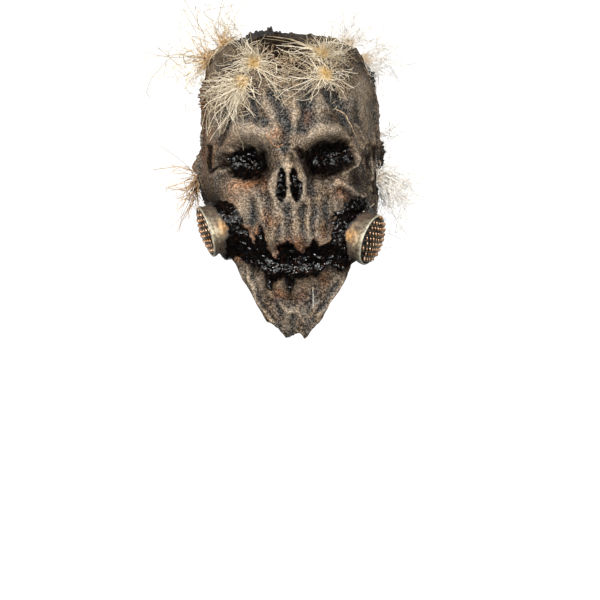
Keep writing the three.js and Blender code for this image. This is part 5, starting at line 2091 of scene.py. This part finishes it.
# %% Lines of the rags
RAG_LEVELS = np.array([0, 0.35, 0.7, 1.0])
RAG_HALF_THICKNESS = np.array([0.9, 0.8, 0.6, 0.3])
RAG_STEP = 0.7
RAG_LINES = {  # yarn, lean, then rows of angle, z and height
    "crown_1": ("sooty", (0, 0, 0.3), [
        (-78, 2.3, 2), (-78, 1.6, 11), (-78, 1.2, 5), (-78, 0.5, 4), (-78, -1.5, 7), (-78, -3, 2),
    ]),
    "crown_2": ("sooty", (0, -0.3, 0.6), [(-40, 1, 3), (-50, -1, 5), (-58, -3.5, 4), (-66, -6, 2)]),
    "crown_3": ("sooty", (0.2, -0.4, 0.5), [(-20, -1, 2), (-34, -3, 4), (-48, -6.5, 4), (-60, -9, 2)]),
    "right_top": ("sooty", (0, -0.5, 0), [(88, -33, 1), (89, -40, 5), (89, -48, 4), (89, -52, 1)]),
    "right_ear_1": ("sooty", (0, -0.4, 0), [
        (89, -106, 1), (90, -111, 2), (90, -122, 2.5), (90, -132, 3), (89, -139, 1),
    ]),
    "right_ear_2": ("sooty", (0, -0.9, 0), [(85, -108, 1), (85, -116, 2), (85, -128, 2), (85, -138, 1)]),
    "left_flap_1": ("grey", (0, -0.6, 0.2), [
        (-88, -98, 1), (-88, -101, 5), (-88, -107, 4), (-88, -112, 1),
    ]),
    "left_flap_2": ("brown", (0, -0.6, 0), [
        (-88, -113, 1), (-89, -122, 1.5), (-89, -131, 2), (-89, -139, 1),
    ]),
    "left_ear": ("sooty", (0, -0.5, 0), [
        (-89, -140, 1), (-88, -148, 2.5), (-87, -158, 3), (-85, -168, 2),
    ]),
}
print("torn rags:", len(RAG_LINES))

# %% Build the rags
RAG_LINE_STEP = 0.25
RAG_FEWEST = 8
RAG_ROOT = 1
RAG_MEAN = 0.75
RAG_TEAR = 0.55
RAG_HEIGHTS = (0.15, 1.4)
RAG_WAVER = 1.6
RAG_WAVER_SIZE = 4.5
RAG_TEAR_SIZE = 2.6
RAG_THREAD_SIZE = 1.3
RAG_THREADS = 0.8
RAG_SEED = 80
RAG_SEEDS = 5


def rag_foot(line):
    """Evenly spaced points of the skin along a line, the normals there, and the rag's heights."""
    angle, z, height = resampled(line, RAG_LINE_STEP).T
    foot, normal = skin_frame(angle, z)
    gone = np.concatenate([[0], np.cumsum(np.linalg.norm(np.diff(foot, axis=0), axis=1))])
    steps = np.linspace(0, gone[-1], max(RAG_FEWEST, int(gone[-1] / RAG_STEP)))
    foot = np.stack([np.interp(steps, gone, column) for column in foot.T], axis=-1)
    normal = np.stack([np.interp(steps, gone, column) for column in normal.T], axis=-1)
    return foot, normal, np.interp(steps, gone, height)


def torn_strip(name, lean, line, seed):
    """A closed ragged strip along a line on the skin."""
    foot, normal, height = rag_foot(line)
    torn = noise(foot, RAG_TEAR_SIZE, seed) + RAG_THREADS * noise(foot, RAG_THREAD_SIZE, seed + 1)
    height = height * np.clip(RAG_MEAN + RAG_TEAR * torn, *RAG_HEIGHTS)
    rise = normal + np.array(lean)
    rise = rise / np.linalg.norm(rise, axis=-1, keepdims=True)
    along = np.gradient(foot, axis=0)
    across = np.cross(along, rise)
    across = across / np.linalg.norm(across, axis=-1, keepdims=True)
    waver = RAG_WAVER * noise(foot, RAG_WAVER_SIZE, seed + 2)
    levels = (height[:, None] + RAG_ROOT) * RAG_LEVELS - RAG_ROOT
    middle = foot[:, None] + rise[:, None] * levels[..., None]
    middle = middle + across[:, None] * (waver[:, None] * RAG_LEVELS**2)[..., None]
    half = across[:, None] * RAG_HALF_THICKNESS[:, None]
    rings = np.concatenate([middle + half, (middle - half)[:, ::-1]], axis=1)
    rows, columns = rings.shape[:2]
    first = np.arange(columns)
    last = (rows - 1) * columns + first
    return mesh_object(name, rings.reshape(-1, 3), [grid_faces(rows, columns, 0), [first], [last[::-1]]])


for seed, (rag_name, (yarn, lean, line)) in enumerate(RAG_LINES.items()):
    rag = torn_strip("torn_rag_" + rag_name, lean, line, RAG_SEED + RAG_SEEDS * seed)
    rag.data.materials.append(YARNS[yarn])
    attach(rag, "root")
    print(rag.name, len(rag.data.polygons), "faces")
